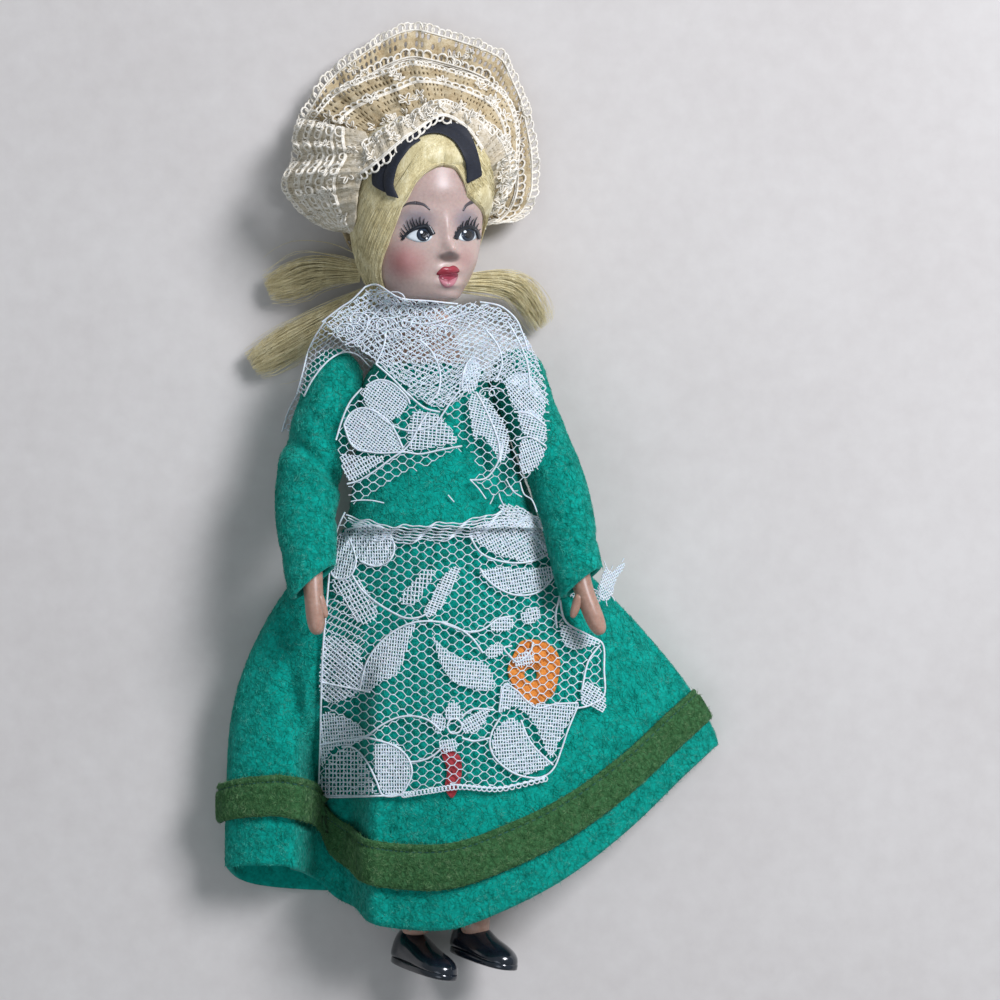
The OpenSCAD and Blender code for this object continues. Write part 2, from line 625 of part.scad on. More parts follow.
module arm(side) {
    root = shoulder + [side * sleeve_out, 0, 0];
    color("#a9a3ab") difference() {
        union() {
            along_x(root, arm_r + 0.3, -shoulder_half, shoulder_half);
            loft([for (p = [[0, arm_r, arm_r], [0.5, arm_r, arm_r], [1, arm_r * 0.92, arm_r * 0.92],
                            [1.5, arm_r * 0.82, arm_r * 0.82], [2, wrist_r, wrist_r],
                            [2.3, hand_w * 0.46, wrist_r * 0.86], [2.55, hand_w / 2, wrist_r * 0.8],
                            [2.8, hand_w * 0.42, wrist_r * 0.66], [2.95, hand_w * 0.26, wrist_r * 0.42]])
                arm_ring(side, p[0], p[1], p[2], 14)]);
            along_x(root, stub_r, side < 0 ? 0 : -stub_len, side < 0 ? stub_len : 0);
        }
        along_x(root, cord_r + run_fit, -2 * sleeve_w, 2 * sleeve_w);
        along_x(root, knot_r + run_fit, side < 0 ? -arm_r * 2 : knot_in, side < 0 ? -knot_in : arm_r * 2);
    }
}
module right_arm() {
    arm(-1);
}
module left_arm() {
    arm(1);
}
// Felt sleeve: a rounded head on the shoulder axis, then a tube to the cuff, with an armhole
// on its inner side
sleeve_sides = 18;
module sleeve(side) {
    root = shoulder + [side * sleeve_out, 0, 0];
    full = side < 0 ? 1.04 : 0.92;
    cap = [for (a = [70, 48, 24]) [sleeve_r * sin(a), cos(a)]];
    function rings(grow) = concat(
        [for (p = cap) ring(root + [0, p[0] + grow * 0.9, 0], [0, -1, 0],
                            sleeve_w * p[1] + grow, sleeve_r * p[1] + grow, sleeve_sides)],
        [for (p = [[0, 1, 1], [0.35, full, 0.95], [0.7, full, 0.86], [1, full, 0.78],
                   [1.35, full * 0.93, 0.7], [1.7, full * 0.84, 0.64],
                   [1.96, cuff_r / sleeve_w, cuff_r / sleeve_r]])
            arm_ring(side, p[0], sleeve_w * p[1] + grow, sleeve_r * p[2] + grow, sleeve_sides)]);
    color("#0f8a84") difference() {
        shell(rings(0), rings(-felt_t));
        along_x(root, stub_r + 2 * ease, side < 0 ? 0 : -sleeve_r * 2, side < 0 ? sleeve_r * 2 : 0);
    }
}
module right_sleeve() {
    sleeve(-1);
}
module left_sleeve() {
    sleeve(1);
}

body_front();
body_back();
neck_peg();
arm_cord();
cord_knots();
right_shoe();
left_shoe();
bodice();
skirt();
hem_band();
lace_apron();
apron_scrap();
orange_bit();
red_bit();
shawl_front();
shawl_back();
head_front();
head_back();
hair_cap();
right_tuft_upper();
right_tuft_lower();
left_tuft();
bonnet_crown();
bonnet_brim();
bonnet_tier();
bonnet_ruffle();
bonnet_ribbon();
right_arm();
right_sleeve();
left_arm();
left_sleeve();
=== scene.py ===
import json
import math

import bpy
import numpy as np
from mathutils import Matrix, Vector
from mathutils.bvhtree import BVHTree

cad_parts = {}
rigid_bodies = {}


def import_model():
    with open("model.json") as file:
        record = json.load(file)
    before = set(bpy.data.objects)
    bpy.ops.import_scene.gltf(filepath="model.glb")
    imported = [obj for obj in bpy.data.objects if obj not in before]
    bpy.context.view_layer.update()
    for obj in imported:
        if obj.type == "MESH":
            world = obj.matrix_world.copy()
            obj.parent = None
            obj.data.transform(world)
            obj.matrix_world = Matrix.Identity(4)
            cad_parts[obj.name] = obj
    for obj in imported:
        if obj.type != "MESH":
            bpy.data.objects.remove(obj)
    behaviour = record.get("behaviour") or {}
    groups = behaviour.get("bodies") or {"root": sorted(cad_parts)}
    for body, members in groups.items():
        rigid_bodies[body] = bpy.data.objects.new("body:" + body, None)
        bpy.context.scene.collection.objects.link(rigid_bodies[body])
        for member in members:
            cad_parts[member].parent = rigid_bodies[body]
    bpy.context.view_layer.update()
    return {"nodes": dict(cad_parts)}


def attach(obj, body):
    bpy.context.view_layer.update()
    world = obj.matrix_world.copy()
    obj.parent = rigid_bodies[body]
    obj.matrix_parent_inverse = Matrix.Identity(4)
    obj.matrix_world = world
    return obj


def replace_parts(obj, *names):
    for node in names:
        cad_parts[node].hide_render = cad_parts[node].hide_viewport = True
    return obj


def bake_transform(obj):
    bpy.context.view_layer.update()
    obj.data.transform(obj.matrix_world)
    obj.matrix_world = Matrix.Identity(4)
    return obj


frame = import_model()

# Table, light and camera: a pale table top under the doll, one large soft lamp at the upper right,
# a weak fill at the lower left, and a camera that looks straight down from 0.6 m.


def linear(code):
    """The linear colour of an sRGB hex code."""
    parts = [int(code[i:i + 2], 16) / 255 for i in (1, 3, 5)]
    return [c / 12.92 if c <= 0.04045 else ((c + 0.055) / 1.055) ** 2.4 for c in parts] + [1.0]


def add(mat, kind, inputs=None, **settings):
    """A node in mat's tree with its settings; an input is a value or another node's socket."""
    made = mat.node_tree.nodes.new(kind)
    for key, value in settings.items():
        setattr(made, key, value)
    for key, value in (inputs or {}).items():
        if isinstance(value, bpy.types.NodeSocket):
            mat.node_tree.links.new(value, made.inputs[key])
        else:
            made.inputs[key].default_value = value
    return made


def coloured(name, colours, size, rough, bump=(0, 1), stretch=(1, 1, 1), **shader):
    """A material whose colour runs through the hex codes by noise of a size in mm.
    rough is the range of its roughness, bump the height and the size in mm of its fine relief."""
    mat = bpy.data.materials.new(name)
    mat.use_nodes = True
    place = add(mat, "ShaderNodeTexCoord").outputs["Object"]
    at = add(mat, "ShaderNodeMapping", {"Vector": place, "Scale": stretch}).outputs[0]
    coarse, fine = (add(mat, "ShaderNodeTexNoise", {
        "Vector": at, "Scale": 1000 / wide, "Detail": detail, "Roughness": share}).outputs["Fac"]
        for wide, detail, share in ((size, 4.0, 0.65), (bump[1], 3.0, 0.6)))
    mixed = add(mat, "ShaderNodeMix", {"Factor": 0.4, 2: coarse, 3: fine}).outputs[0]
    ramp = add(mat, "ShaderNodeValToRGB", {"Fac": mixed})
    stops, first, span = ramp.color_ramp.elements, 0.36, 0.28
    while len(stops) < len(colours):
        stops.new(0.5)
    for k, code in enumerate(colours):
        stops[k].position = first + span * k / (len(colours) - 1)
        stops[k].color = linear(code)
    low, high = rough
    roughness = add(mat, "ShaderNodeMapRange", {"Value": fine, "To Min": low, "To Max": high}).outputs[0]
    normal = add(mat, "ShaderNodeBump", {"Height": fine, "Strength": min(1.0, bump[0] * 4),
                                         "Distance": bump[0] / 1000}).outputs[0]
    bsdf = mat.node_tree.nodes["Principled BSDF"]
    for socket, source in (("Base Color", ramp.outputs[0]), ("Roughness", roughness), ("Normal", normal)):
        mat.node_tree.links.new(source, bsdf.inputs[socket])
    for socket, value in shader.items():
        bsdf.inputs[socket.replace("_", " ")].default_value = value
    return mat


bpy.ops.mesh.primitive_plane_add(size=3)
table = bpy.context.object
table.name = "table_top"
# matt laminate: even and pale, so that it takes the soft shadow and shows nothing else
laminate = coloured("Matt_laminate", ["#c9c4bf", "#d2cec9"], 60, (0.6, 0.75), (0.05, 4))
table.data.materials.append(laminate)

world = bpy.context.scene.world or bpy.data.worlds.new("World")
bpy.context.scene.world = world
world.use_nodes = True
sky = world.node_tree.nodes["Background"]
sky.inputs["Color"].default_value = linear("#d3dbe2")
sky.inputs["Strength"].default_value = 0.36
for lamp, place, watts, width, tint in (("key", (0.45, 0.36, 0.6), 7.2, 0.28, "#f5f6ff"),
                                        ("fill", (-0.3, -0.3, 0.9), 1.4, 0.6, "#e6efff")):
    bpy.ops.object.light_add(type="AREA", location=place)
    light = bpy.context.object
    light.name = lamp
    light.data.energy, light.data.size = watts, width
    light.data.color = linear(tint)[:3]
    light.rotation_euler = (Vector((0, 0, 0.01)) - Vector(place)).to_track_quat("-Z", "Y").to_euler()

MM = 0.001
EYE, FOCUS = np.array([5.5, 0.76, 600.0]), 585.0  # camera's place, distance where PIXEL holds, in mm
PIXEL, MIDDLE = 0.19, 500  # mm for a pixel at that distance, middle of the 1000-pixel view
SENSOR = 36
bpy.ops.object.camera_add(location=EYE * MM, rotation=(0, 0, 0))
camera = bpy.context.object
camera.data.sensor_width = SENSOR
camera.data.lens = SENSOR * FOCUS * MM / PIXEL
camera.data.clip_start = 0.01
bpy.context.scene.camera = camera
bpy.context.scene.view_settings.view_transform = "Standard"

# Body: the hollow torso and the two legs, one moulding of grey-pink plastic in a front and a back half.
# Almost all of it is under the dress; the neck peg, the elastic and its knots are the CAD's own.


def lerp(a, b, t):
    """The value at the share t of the way from a to b."""
    return a + (b - a) * t


def bell(d, w):
    """A bump of height 1 and width w, at the distance d from its middle."""
    return np.exp(-(d / w) ** 2)


def unit(v):
    """Directions v brought to a length of 1."""
    return v / np.linalg.norm(v, axis=-1, keepdims=True)


def spline(points, s, closed=False):
    """Points at the places s of a smooth curve through the points."""
    p, s = np.array(points, float), np.asarray(s, float)
    k = np.floor(s).astype(int)
    f = (s - k)[..., None]
    a, b, c, d = (p[(k + i) % len(p)] if closed else p[np.clip(k + i, 0, len(p) - 1)] for i in (-1, 0, 1, 2))
    return 0.5 * (2 * b + (c - a) * f + (2 * a - 5 * b + 4 * c - d) * f ** 2
                  + (3 * b - a - 3 * c + d) * f ** 3)


def ring(c, d, across, up, n):
    """n points round c, across the direction d, with half widths across and up."""
    side = unit(np.cross(np.array(d, float), (0, 0, 1.0)))
    top = unit(np.cross(side, d))
    a = np.linspace(0, 2 * np.pi, n, endpoint=False)[:, None]
    return np.array(c) + side * across * np.cos(a) + top * up * np.sin(a)


def select(obj, *others):
    """Selects obj and the others alone, and makes obj the active one."""
    bpy.ops.object.select_all(action="DESELECT")
    for piece in (obj, *others):
        piece.select_set(True)
    bpy.context.view_layer.objects.active = obj


def join(pieces):
    """Joins the pieces into the first of them."""
    select(*pieces)
    bpy.ops.object.join()
    return pieces[0]


def apply(obj, kind, **settings):
    """Adds a modifier to obj and applies it."""
    select(obj)
    made = obj.modifiers.new(kind.lower(), kind)
    for key, value in settings.items():
        setattr(made, key, value)
    bpy.ops.object.modifier_apply(modifier=made.name)
    return obj


def linked(name, data):
    """A new object with its mesh or curve, in the scene."""
    obj = bpy.data.objects.new(name, data)
    bpy.context.scene.collection.objects.link(obj)
    return obj


def surface(name, points, wrap=False, caps=False):
    """A mesh over a grid of points in mm, rows by columns; wrap closes each row, caps its two ends."""
    points = np.asarray(points, float)
    m, n = points.shape[:2]
    q = n if wrap else n - 1
    k, i = np.meshgrid(np.arange(m - 1), np.arange(q), indexing="ij")
    j = (i + 1) % n
    faces = np.stack([k * n + i, k * n + j, (k + 1) * n + j, (k + 1) * n + i], -1).reshape(-1, 4).tolist()
    if caps:
        faces += [list(range(n))[::-1], list(range((m - 1) * n, m * n))]
    mesh = bpy.data.meshes.new(name)
    mesh.from_pydata((points.reshape(-1, 3) * MM).tolist(), [], faces)
    return outward(linked(name, mesh))


def outward(obj):
    """Turns the faces of obj to the outside and shades it smooth."""
    select(obj)
    bpy.ops.object.mode_set(mode="EDIT")
    bpy.ops.mesh.select_all(action="SELECT")
    bpy.ops.mesh.normals_make_consistent(inside=False)
    bpy.ops.object.mode_set(mode="OBJECT")
    bpy.ops.object.shade_smooth()
    return obj


def dress(obj, mat, slot, *nodes):
    """Gives obj its material, and says which CAD nodes it stands for; slot is not used."""
    obj.data.materials.clear()
    obj.data.materials.append(mat)
    if nodes:
        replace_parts(obj, *nodes)
    return obj


# moulded hard plastic: a soft, even gloss and a little light that goes under the skin
flesh = coloured("Moulded_flesh_plastic", ["#9c7866", "#ad8977", "#ba9987"], 20, (0.32, 0.46), (0.02, 0.8),
                 Subsurface_Weight=0.12, Subsurface_Scale=0.002)
WAIST, TORSO_Z, DOWN = np.array([-5.0, -2.0]), 13.0, (0, -1, 0)
SHOULDER = np.array([-8.5, 22.5, 13.0])
torso_stations = [  # height over the waist, middle in x, half width and half depth, in mm
    (39.9, -8.5, 4.8, 4.8), (33.5, -8.5, 5.1, 5.1), (28.5, -8.5, 7.8, 6.8), (24.5, -8.5, 10, 7.9),
    (16.66, -7.45, 10, 8.5), (8.33, -6.05, 9.88, 7.72), (0, -5, 9.8, 7.2), (-8.05, -5, 11.34, 7.76),
    (-15.64, -5, 12, 8), (-23, -5, 10.56, 6.72)]
LEG_X, HIP_Y, LEG, HIP_Z, ANKLE_Z = 5.7, -25, 58, 12, 7.5  # mm
leg_stations = [  # share of the leg's length, half width in mm, share of the fall from hip to ankle
    (0.18, 5.4, 0), (-0.12, 5.4, 0.05), (-0.45, 4.1, 0.45), (-0.55, 4.0, 0.55), (-0.72, 4.2, 0.7),
    (-0.9, 3.14, 0.92), (-0.97, 2.8, 0.98), (-1, 2.8, 1)]
moulded = [surface("body", [ring((x, WAIST[1] + y, TORSO_Z), DOWN, across, up, 24)
                            for y, x, across, up in torso_stations], wrap=True, caps=True)]
for side in (-1, 1):
    moulded.append(surface("leg", [
        ring((WAIST[0] + side * LEG_X, HIP_Y + t * LEG, lerp(HIP_Z, ANKLE_Z, fall)), DOWN, r, r, 16)
        for t, r, fall in leg_stations], wrap=True, caps=True))
for piece in moulded:
    apply(piece, "SUBSURF", levels=2)
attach(dress(outward(join(moulded)), flesh, "flesh_plastic", "body_front", "body_back"), "torso")

# turned plastic is grey and half matt; woven elastic is dull, its ribs drawn coarse enough to show
peg_plastic = coloured("Turned_plastic", ["#7d767e", "#979099"], 3, (0.4, 0.55), (0.03, 0.5))
elastic = coloured("Woven_elastic", ["#bdb8aa", "#dedacd"], 0.6, (0.75, 0.9), (0.08, 0.4))
for node_name, mat in (("neck_peg", peg_plastic), ("arm_cord", elastic), ("cord_knots", elastic)):
    frame["nodes"][node_name].data.materials.clear()
    frame["nodes"][node_name].data.materials.append(mat)

# Shoes: glossy black moulded slip-ons, one on each ankle, toes turned up and to the right.
# Each is an upper lofted from heel to toe on a thin sole.

# polished moulded plastic: blue-black, with sharp highlights under a clear coat
shoe_black = coloured("Polished_plastic", ["#0b0e14", "#141a22", "#1a222c"], 6, (0.1, 0.26), (0.015, 1.2),
                      Coat_Weight=0.7, Coat_Roughness=0.08)
SHOE_L, SHOE_H, SHOE_W, SHOE_EDGE = 17, 7.4, 4, 0.7  # length, height, half width and sole's edge in mm
SHOE_X = SHOE_L * 0.37  # the ankle's place from the heel
SOLE_X, SOLE_L = 8.5, 8.6  # the sole's middle from the heel, and its half length, in mm
LEAN, TILT = 50, -10  # degrees that the toe is turned up and the sole to the side


def turned(p, i, j, angle):
    """Points turned by an angle in degrees from the axis i towards the axis j."""
    c, s, q = math.cos(math.radians(angle)), math.sin(math.radians(angle)), p.copy()
    q[..., i], q[..., j] = p[..., i] * c - p[..., j] * s, p[..., i] * s + p[..., j] * c
    return q


def placed_shoe(points, side):
    """Shoe points (heel to toe, up, across) in the frame, under the ankle of one side."""
    p = turned(turned(np.asarray(points, float) - (SHOE_X, 0, 0), 0, 2, LEAN), 0, 1, TILT)
    tread = 2 - SHOE_H - side * LEG_X * math.sin(math.radians(TILT))
    return p + (WAIST[0] + side * LEG_X, HIP_Y - LEG + tread, ANKLE_Z)


shoe_stations = [  # shares of the length, the half width and the height
    (0.0, 0.3, 0.7), (0.02, 0.5, 0.86), (0.1, 0.8, 0.98), (0.25, 0.86, 1), (0.42, 0.88, 0.86),
    (0.58, 0.94, 0.68), (0.75, 0.96, 0.6), (0.88, 0.84, 0.5), (0.96, 0.56, 0.4), (0.995, 0.25, 0.3)]
arc, around = np.linspace(0, np.pi, 20), np.linspace(0, 2 * np.pi, 40, endpoint=False)
bow, flank = (np.sign(wave) * abs(wave) ** 0.75 for wave in (np.cos(around), np.sin(around)))
spread = lerp(3.3, 3.95, 0.5 + 0.5 * np.cos(around))
tread_edge = np.stack([SOLE_X + SOLE_L * bow, np.zeros(40), spread * flank], -1)
for name, side in (("right_shoe", -1), ("left_shoe", 1)):
    upper = surface(name + "_visual", placed_shoe([np.stack([
        np.full(20, t * SHOE_L), SHOE_EDGE + (high * SHOE_H - SHOE_EDGE) * np.sin(arc) ** 0.7,
        -wide * SHOE_W * np.cos(arc)], -1) for t, wide, high in shoe_stations], side), wrap=True, caps=True)
    sole = surface(name + "_sole", placed_shoe([
        tread_edge * (g, 1, g) + (SOLE_X * (1 - g), h, 0)
        for h, g in ((0, 0.97), (0.15, 1), (1.05, 1), (1.2, 0.97))], side), wrap=True, caps=True)
    apply(upper, "SUBSURF", levels=2)
    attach(dress(outward(upper), shoe_black, "shoe_plastic", name), "torso")
    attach(dress(sole, shoe_black, "shoe_plastic"), "torso")

# Bodice: a tube of teal felt round the chest under the shawl, lofted over the body's own stations.
# It widens to the waist, where the skirt's gathers hold it; loose wool fibres lie on its face.

# pressed wool felt: matt and cloudy, without a highlight, each cloud about as wide as a tuft of wool;
# its loose fibres are paler, and drawn two or three times as thick as real ones so that they show
WOOL = {"Sheen_Weight": 0.08, "Sheen_Roughness": 0.5, "Specular_IOR_Level": 0.15}
felt_teal = coloured("Pressed_teal_felt", ["#007468", "#008c7d", "#009c8c", "#09a898"], 2.2, (0.95, 1.0),
                     (0.25, 0.5), **WOOL)
teal_fibre = coloured("Loose_teal_wool", ["#00806e", "#22a793", "#5cc6b4"], 1.5, (0.9, 1.0),
                      Specular_IOR_Level=0.1)
FELT, ROOM = 1.2, 1.5  # thickness of the felt, and its distance from the body, in mm


def thicken(obj, thick, offset=-1, levels=0):
    """Gives a sheet its thickness in mm, inward or with offset 0 to both sides, and rounds its edges."""
    apply(obj, "SOLIDIFY", thickness=thick * MM, offset=offset)
    return outward(apply(obj, "SUBSURF", levels=levels) if levels else obj)


def nap(felt, count, mat, slot, body):
    """Loose wool fibres of a felt piece: fine bent spindles that lie on the face turned up."""
    felt.data.calc_loop_triangles()
    corner = np.empty(3 * len(felt.data.loop_triangles), int)
    felt.data.loop_triangles.foreach_get("vertices", corner)
    a, b, c = np.array([v.co for v in felt.data.vertices])[corner.reshape(-1, 3)].transpose(1, 0, 2) / MM
    up = np.cross(b - a, c - a)
    size = np.linalg.norm(up, axis=1, keepdims=True)
    share = np.where(up[:, 2] > -0.2 * size[:, 0], size[:, 0], 0)
    dice, thin = np.random.default_rng(count), 0.045
    pick = dice.choice(len(share), count, p=share / share.sum())
    low, high = np.sort(dice.random((2, count, 1)), axis=0)
    spot = a[pick] * low + b[pick] * (high - low) + c[pick] * (1 - high)
    up = (up / np.maximum(size, 1e-9))[pick]
    way = np.cross(up, dice.normal(size=(count, 3)))
    way *= dice.uniform(0.45, 1.2, (count, 1)) / np.linalg.norm(way, axis=1, keepdims=True)
    side = np.cross(up, way)
    middle = spot + 0.07 * up + dice.normal(0, 0.25, (count, 1)) * side
    points = np.stack([spot - way, spot + way + dice.uniform(-0.05, 0.3, (count, 1)) * up,
                       middle + thin * side, middle - thin * side, middle + 0.05 * up], 1)
    faces = np.array([(0, 2, 4), (0, 4, 3), (0, 3, 2), (1, 4, 2), (1, 3, 4), (1, 2, 3)])
    mesh = bpy.data.meshes.new(felt.name + "_nap")
    faces = (5 * np.arange(count)[:, None, None] + faces).reshape(-1, 3)
    mesh.from_pydata(points.reshape(-1, 3) * MM, [], faces)
    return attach(dress(outward(linked(mesh.name, mesh)), mat, slot), body)


bodice_rows = []
for y, x, across, up in torso_stations[2:7] + [(-2.4, -5, 10.2, 7.4)]:
    drop, low, blouse = 1 - y / 34.5, max(0, 1 - y / 20), max(0, 1 - y / 8.33)
    row = ring((x, WAIST[1] + y, TORSO_Z), DOWN, across + ROOM + 2.3 * drop, up + ROOM + 2.4 * blouse, 36)
    pull = np.where(row[:, 0] < x, 0.22 * drop + 0.12 * low, 0.1 * drop + 0.19 * low)
    row[:, 0] += (row[:, 0] - x) * pull
    bodice_rows.append(row)
bodice = apply(surface("bodice_felt", bodice_rows, wrap=True), "SUBSURF", levels=2)
nap(bodice, 4000, teal_fibre, "green_felt", "torso")
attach(dress(thicken(bodice, FELT), felt_teal, "green_felt", "bodice"), "torso")

# Skirt: teal felt gathered to the waist, lying on the table behind and standing over the legs in front.
# Its hem runs through the points below; at the left it rolls under in one large open fold.
hem_points = np.array([
    (-42.5, 68, 5.5), (-41.5, 67.5, 11.5), (-36, 66.8, 15), (-28, 67.6, 15.5), (-22, 74, 16),
    (-16.5, 76.2, 18.5), (-9.5, 77.8, 21.5), (1, 77.7, 24), (11, 74.4, 23.5), (23, 68.6, 20),
    (35, 60, 15.5), (46, 50.2, 10), (52.5, 44.8, 4.8), (50.5, 46, 0.6), (43, 52, 0.1),
    (27, 63, 0.1), (9, 71, 0.1), (-11, 73, 0.1), (-27, 73, 0.1), (-39, 71.5, 0.6)]) * (1, -1, 1) + (*WAIST, 0)
KNOTS, SIDE = 20, 12  # rays through the hem's points, and those of its front
TOP_X, TOP_Z = 15.1, 10.2  # half width and half depth of the gathered waist, in mm


def skirt_spot(s, v):
    """The skirt's outer surface in mm at the ray s round the waist and the share v from waist to hem."""
    s, v = np.broadcast_arrays(np.asarray(s, float) % KNOTS, np.asarray(v, float))
    a = np.radians(np.where(s <= SIDE, lerp(185, 5, s / SIDE), lerp(5, -175, (s - SIDE) / (KNOTS - SIDE))))
    hem = spline(hem_points, s, closed=True)
    front = np.maximum(0, np.sin(a))
    top_x, top_z = WAIST[0] + TOP_X * np.cos(a), TORSO_Z + TOP_Z * np.sin(a)
    flare = lerp(3.4, 1.35, (hem[..., 0] - WAIST[0]) / 95 + 0.45)
    deep = np.clip((v - 0.28) / 0.5, 0, 1)  # how far the large fold at the left has opened
    fold = (13 * np.exp(-((s - 4.1) / 0.95) ** 6) - 1.2 * bell(s - 5.5, 0.3)) * deep ** 2 * (3 - 2 * deep)
    fold = fold + 3.2 * bell(s - 2.35 - 3.4 * (v - 0.42), 0.3) * bell(v - 0.62, 0.17)
    z_share = np.where(front > 0, v, 1 - (1 - v) ** 2)
    return np.stack([lerp(top_x, hem[..., 0], 1 - (1 - v) ** flare), lerp(WAIST[1], hem[..., 1], v),
                     lerp(top_z, hem[..., 2], z_share) + 3 * front ** 2 * np.sin(np.pi * v) - fold], -1)


def skirt_off(s, v, d):
    """The point a distance d mm outside the skirt."""
    s, v = np.broadcast_arrays(np.asarray(s, float), np.asarray(v, float))
    du = skirt_spot(s + 0.1, v) - skirt_spot(s - 0.1, v)
    dv = skirt_spot(s, np.minimum(1, v + 0.03)) - skirt_spot(s, np.maximum(0, v - 0.03))
    n = np.cross(dv, du)
    return skirt_spot(s, v) + np.asarray(d)[..., None] * unit(n)


rows, cols = 70, 220
v_grid, s_grid = np.meshgrid(np.linspace(0, 1, rows), np.arange(cols) * KNOTS / cols, indexing="ij")
gathers = 0.45 * np.cos(2 * np.pi * s_grid * 2.4 + 1.3 * np.sin(s_grid * 1.7)) * np.exp(-v_grid / 0.1)
ripples = 0.28 * np.sin(s_grid * 3.1 + 5 * v_grid) * np.sin(9 * v_grid + s_grid)
ripples = ripples * np.minimum(1, 4 * (1 - v_grid))
skirt_points = skirt_off(s_grid, v_grid, np.where(s_grid < SIDE, gathers + ripples - 0.35, 0))
skirt_points[..., 1] += (0.7 * np.sin(s_grid * 4.1) + 0.4 * np.sin(s_grid * 9.7 + 1)) * np.exp(-v_grid / 0.06)
skirt = surface("skirt_felt", skirt_points, wrap=True)
nap(skirt, 26000, teal_fibre, "green_felt", "torso")
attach(dress(thicken(skirt, FELT), felt_teal, "green_felt", "skirt"), "torso")

# Hem band: a strip of olive felt laid over the skirt round the front of its hem.
# It is sewn on by one row of running stitches in dark cotton, sunk in a groove near its top.

# the same pressed felt and fibres in olive: darker, so that the band reads as a second cloth
felt_olive = coloured("Pressed_olive_felt", ["#2d5632", "#3a683e", "#47754a"], 2, (0.95, 1.0), (0.25, 0.5),
                      **WOOL)
olive_fibre = coloured("Loose_olive_wool", ["#3a673c", "#578453", "#7d9f72"], 1.5, (0.9, 1.0),
                       Specular_IOR_Level=0.1)
GROOVE, STITCH = 0.17, 0.062  # share of the band's width, and a stitch's length in rays of the skirt
rays = np.arange(0, SIDE, 0.02)
ray_lengths = np.linalg.norm(spline(hem_points, rays, closed=True) - (*WAIST, TORSO_Z), axis=1)


def band_v(s, share):
    """The share v of the skirt's length at a share of the band's width, from its top to its foot."""
    roll = 1.4 + 1.4 * np.cos(np.pi * np.clip((s - 2.3) / 2.6, 0, 1)) - bell(s, 0.9)
    return 1 - (8 + roll + 8.8 * (1 - share)) / np.interp(s, rays, ray_lengths)


def band_lift(share):
    """Height in mm of the band's face over the skirt: rounded edges and a stitched groove near its top."""
    return 0.25 + FELT - 0.5 * (2 * share - 1) ** 6 - 0.5 * bell(share - GROOVE, 0.05)


s_grid, w_grid = np.meshgrid(np.linspace(0, SIDE, 200), np.linspace(0, 1, 25))
band = surface("hem_band_felt", skirt_off(s_grid, band_v(s_grid, w_grid), band_lift(w_grid)))
nap(band, 8000, olive_fibre, "olive_felt", "torso")
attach(dress(thicken(band, FELT), felt_olive, "olive_felt", "hem_band"), "torso")


def threads(name, lines, radius, mat, slot, detail=0, taper=1.0):
    """Threads of a radius in mm along lines of points in mm; detail rounds them, taper thins the tips."""
    curve = bpy.data.curves.new(name, "CURVE")
    curve.dimensions, curve.use_fill_caps = "3D", True
    curve.bevel_depth, curve.bevel_resolution = radius * MM, detail
    for line in lines:
        made = curve.splines.new("POLY")
        made.points.add(len(line) - 1)
        flat = np.ones((len(line), 4))
        flat[:, :3] = np.asarray(line) * MM
        made.points.foreach_set("co", flat.ravel())
        made.points.foreach_set("radius", np.linspace(1, taper, len(line)))
    select(linked(name, curve))
    bpy.ops.object.convert(target="MESH")
    bpy.ops.object.shade_smooth()
    return dress(bpy.context.object, mat, slot)


# spun cotton: dull and dark, so that each stitch shows as a short line in its groove
stitch_cotton = coloured("Spun_cotton", ["#16423c", "#2f6659"], 0.8, (0.8, 0.9), (0.05, 0.3))
stitches = []
for s in np.arange(0.1, SIDE - 0.1, 0.11):
    t = np.linspace(0, STITCH, 5)
    lift = band_lift(GROOVE) + 0.1 * np.sin(np.pi * t / STITCH)
    stitches.append(skirt_off(s + t, band_v(s + t, GROOVE), lift))
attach(threads("hem_stitches", stitches, 0.13, stitch_cotton, "olive_felt", 1), "torso")

# Felt bits: an orange blossom with a hole in its middle and a red scrap, cut from thin felt.
# They are sewn flat to the skirt and show through the apron's lace.


def tree(obj):
    """A search tree of the faces of obj, for rays."""
    return BVHTree.FromObject(obj, bpy.context.evaluated_depsgraph_get())


def plan(px, z):
    """Points in mm under pixels of the 1000-pixel view, at heights z in mm."""
    px = np.asarray(px, float)
    z = np.broadcast_to(np.asarray(z, float), px.shape[:-1])
    k = PIXEL * (EYE[2] - z) / FOCUS
    return np.stack([EYE[0] + (px[..., 0] - MIDDLE) * k, EYE[1] + (MIDDLE - px[..., 1]) * k, z], -1)


def heights(faces, spots, bare):
    """The heights in mm of a search tree's faces at spots in mm, or the bare height beside them."""
    hits = [faces.ray_cast(Vector((x * MM, y * MM, 0.1)), Vector((0, 0, -1)))[0] for x, y, z in spots]
    return np.array([hit.z / MM if hit else bare for hit in hits])


skirt_tree, bodice_tree = tree(skirt), tree(bodice)


def on_skirt(px, gap):
    """Points a gap in mm over the skirt, or over the bodice's foot, under the pixels."""
    flat = np.asarray(px, float).reshape(-1, 2)
    z = 22.0
    for _ in range(2):
        z = heights(skirt_tree, plan(flat, z), 15)
    z = z + 2 * np.clip((534 - flat[:, 1]) / 14, 0, 1)  # over the gathers at the waist
    z = np.maximum(z, heights(bodice_tree, plan(flat, z), 0))
    return plan(flat, z + gap).reshape(*np.asarray(px).shape[:-1], 3)


def smooth(points, n=6, closed=False):
    """A finer line through a line of points."""
    points = np.array(points, float)
    last = len(points) if closed else len(points) - 1
    return spline(points, np.linspace(0, last, last * n + (0 if closed else 1), endpoint=not closed), closed)


LEAST = 0.01  # the shortest side of a sheet, in m
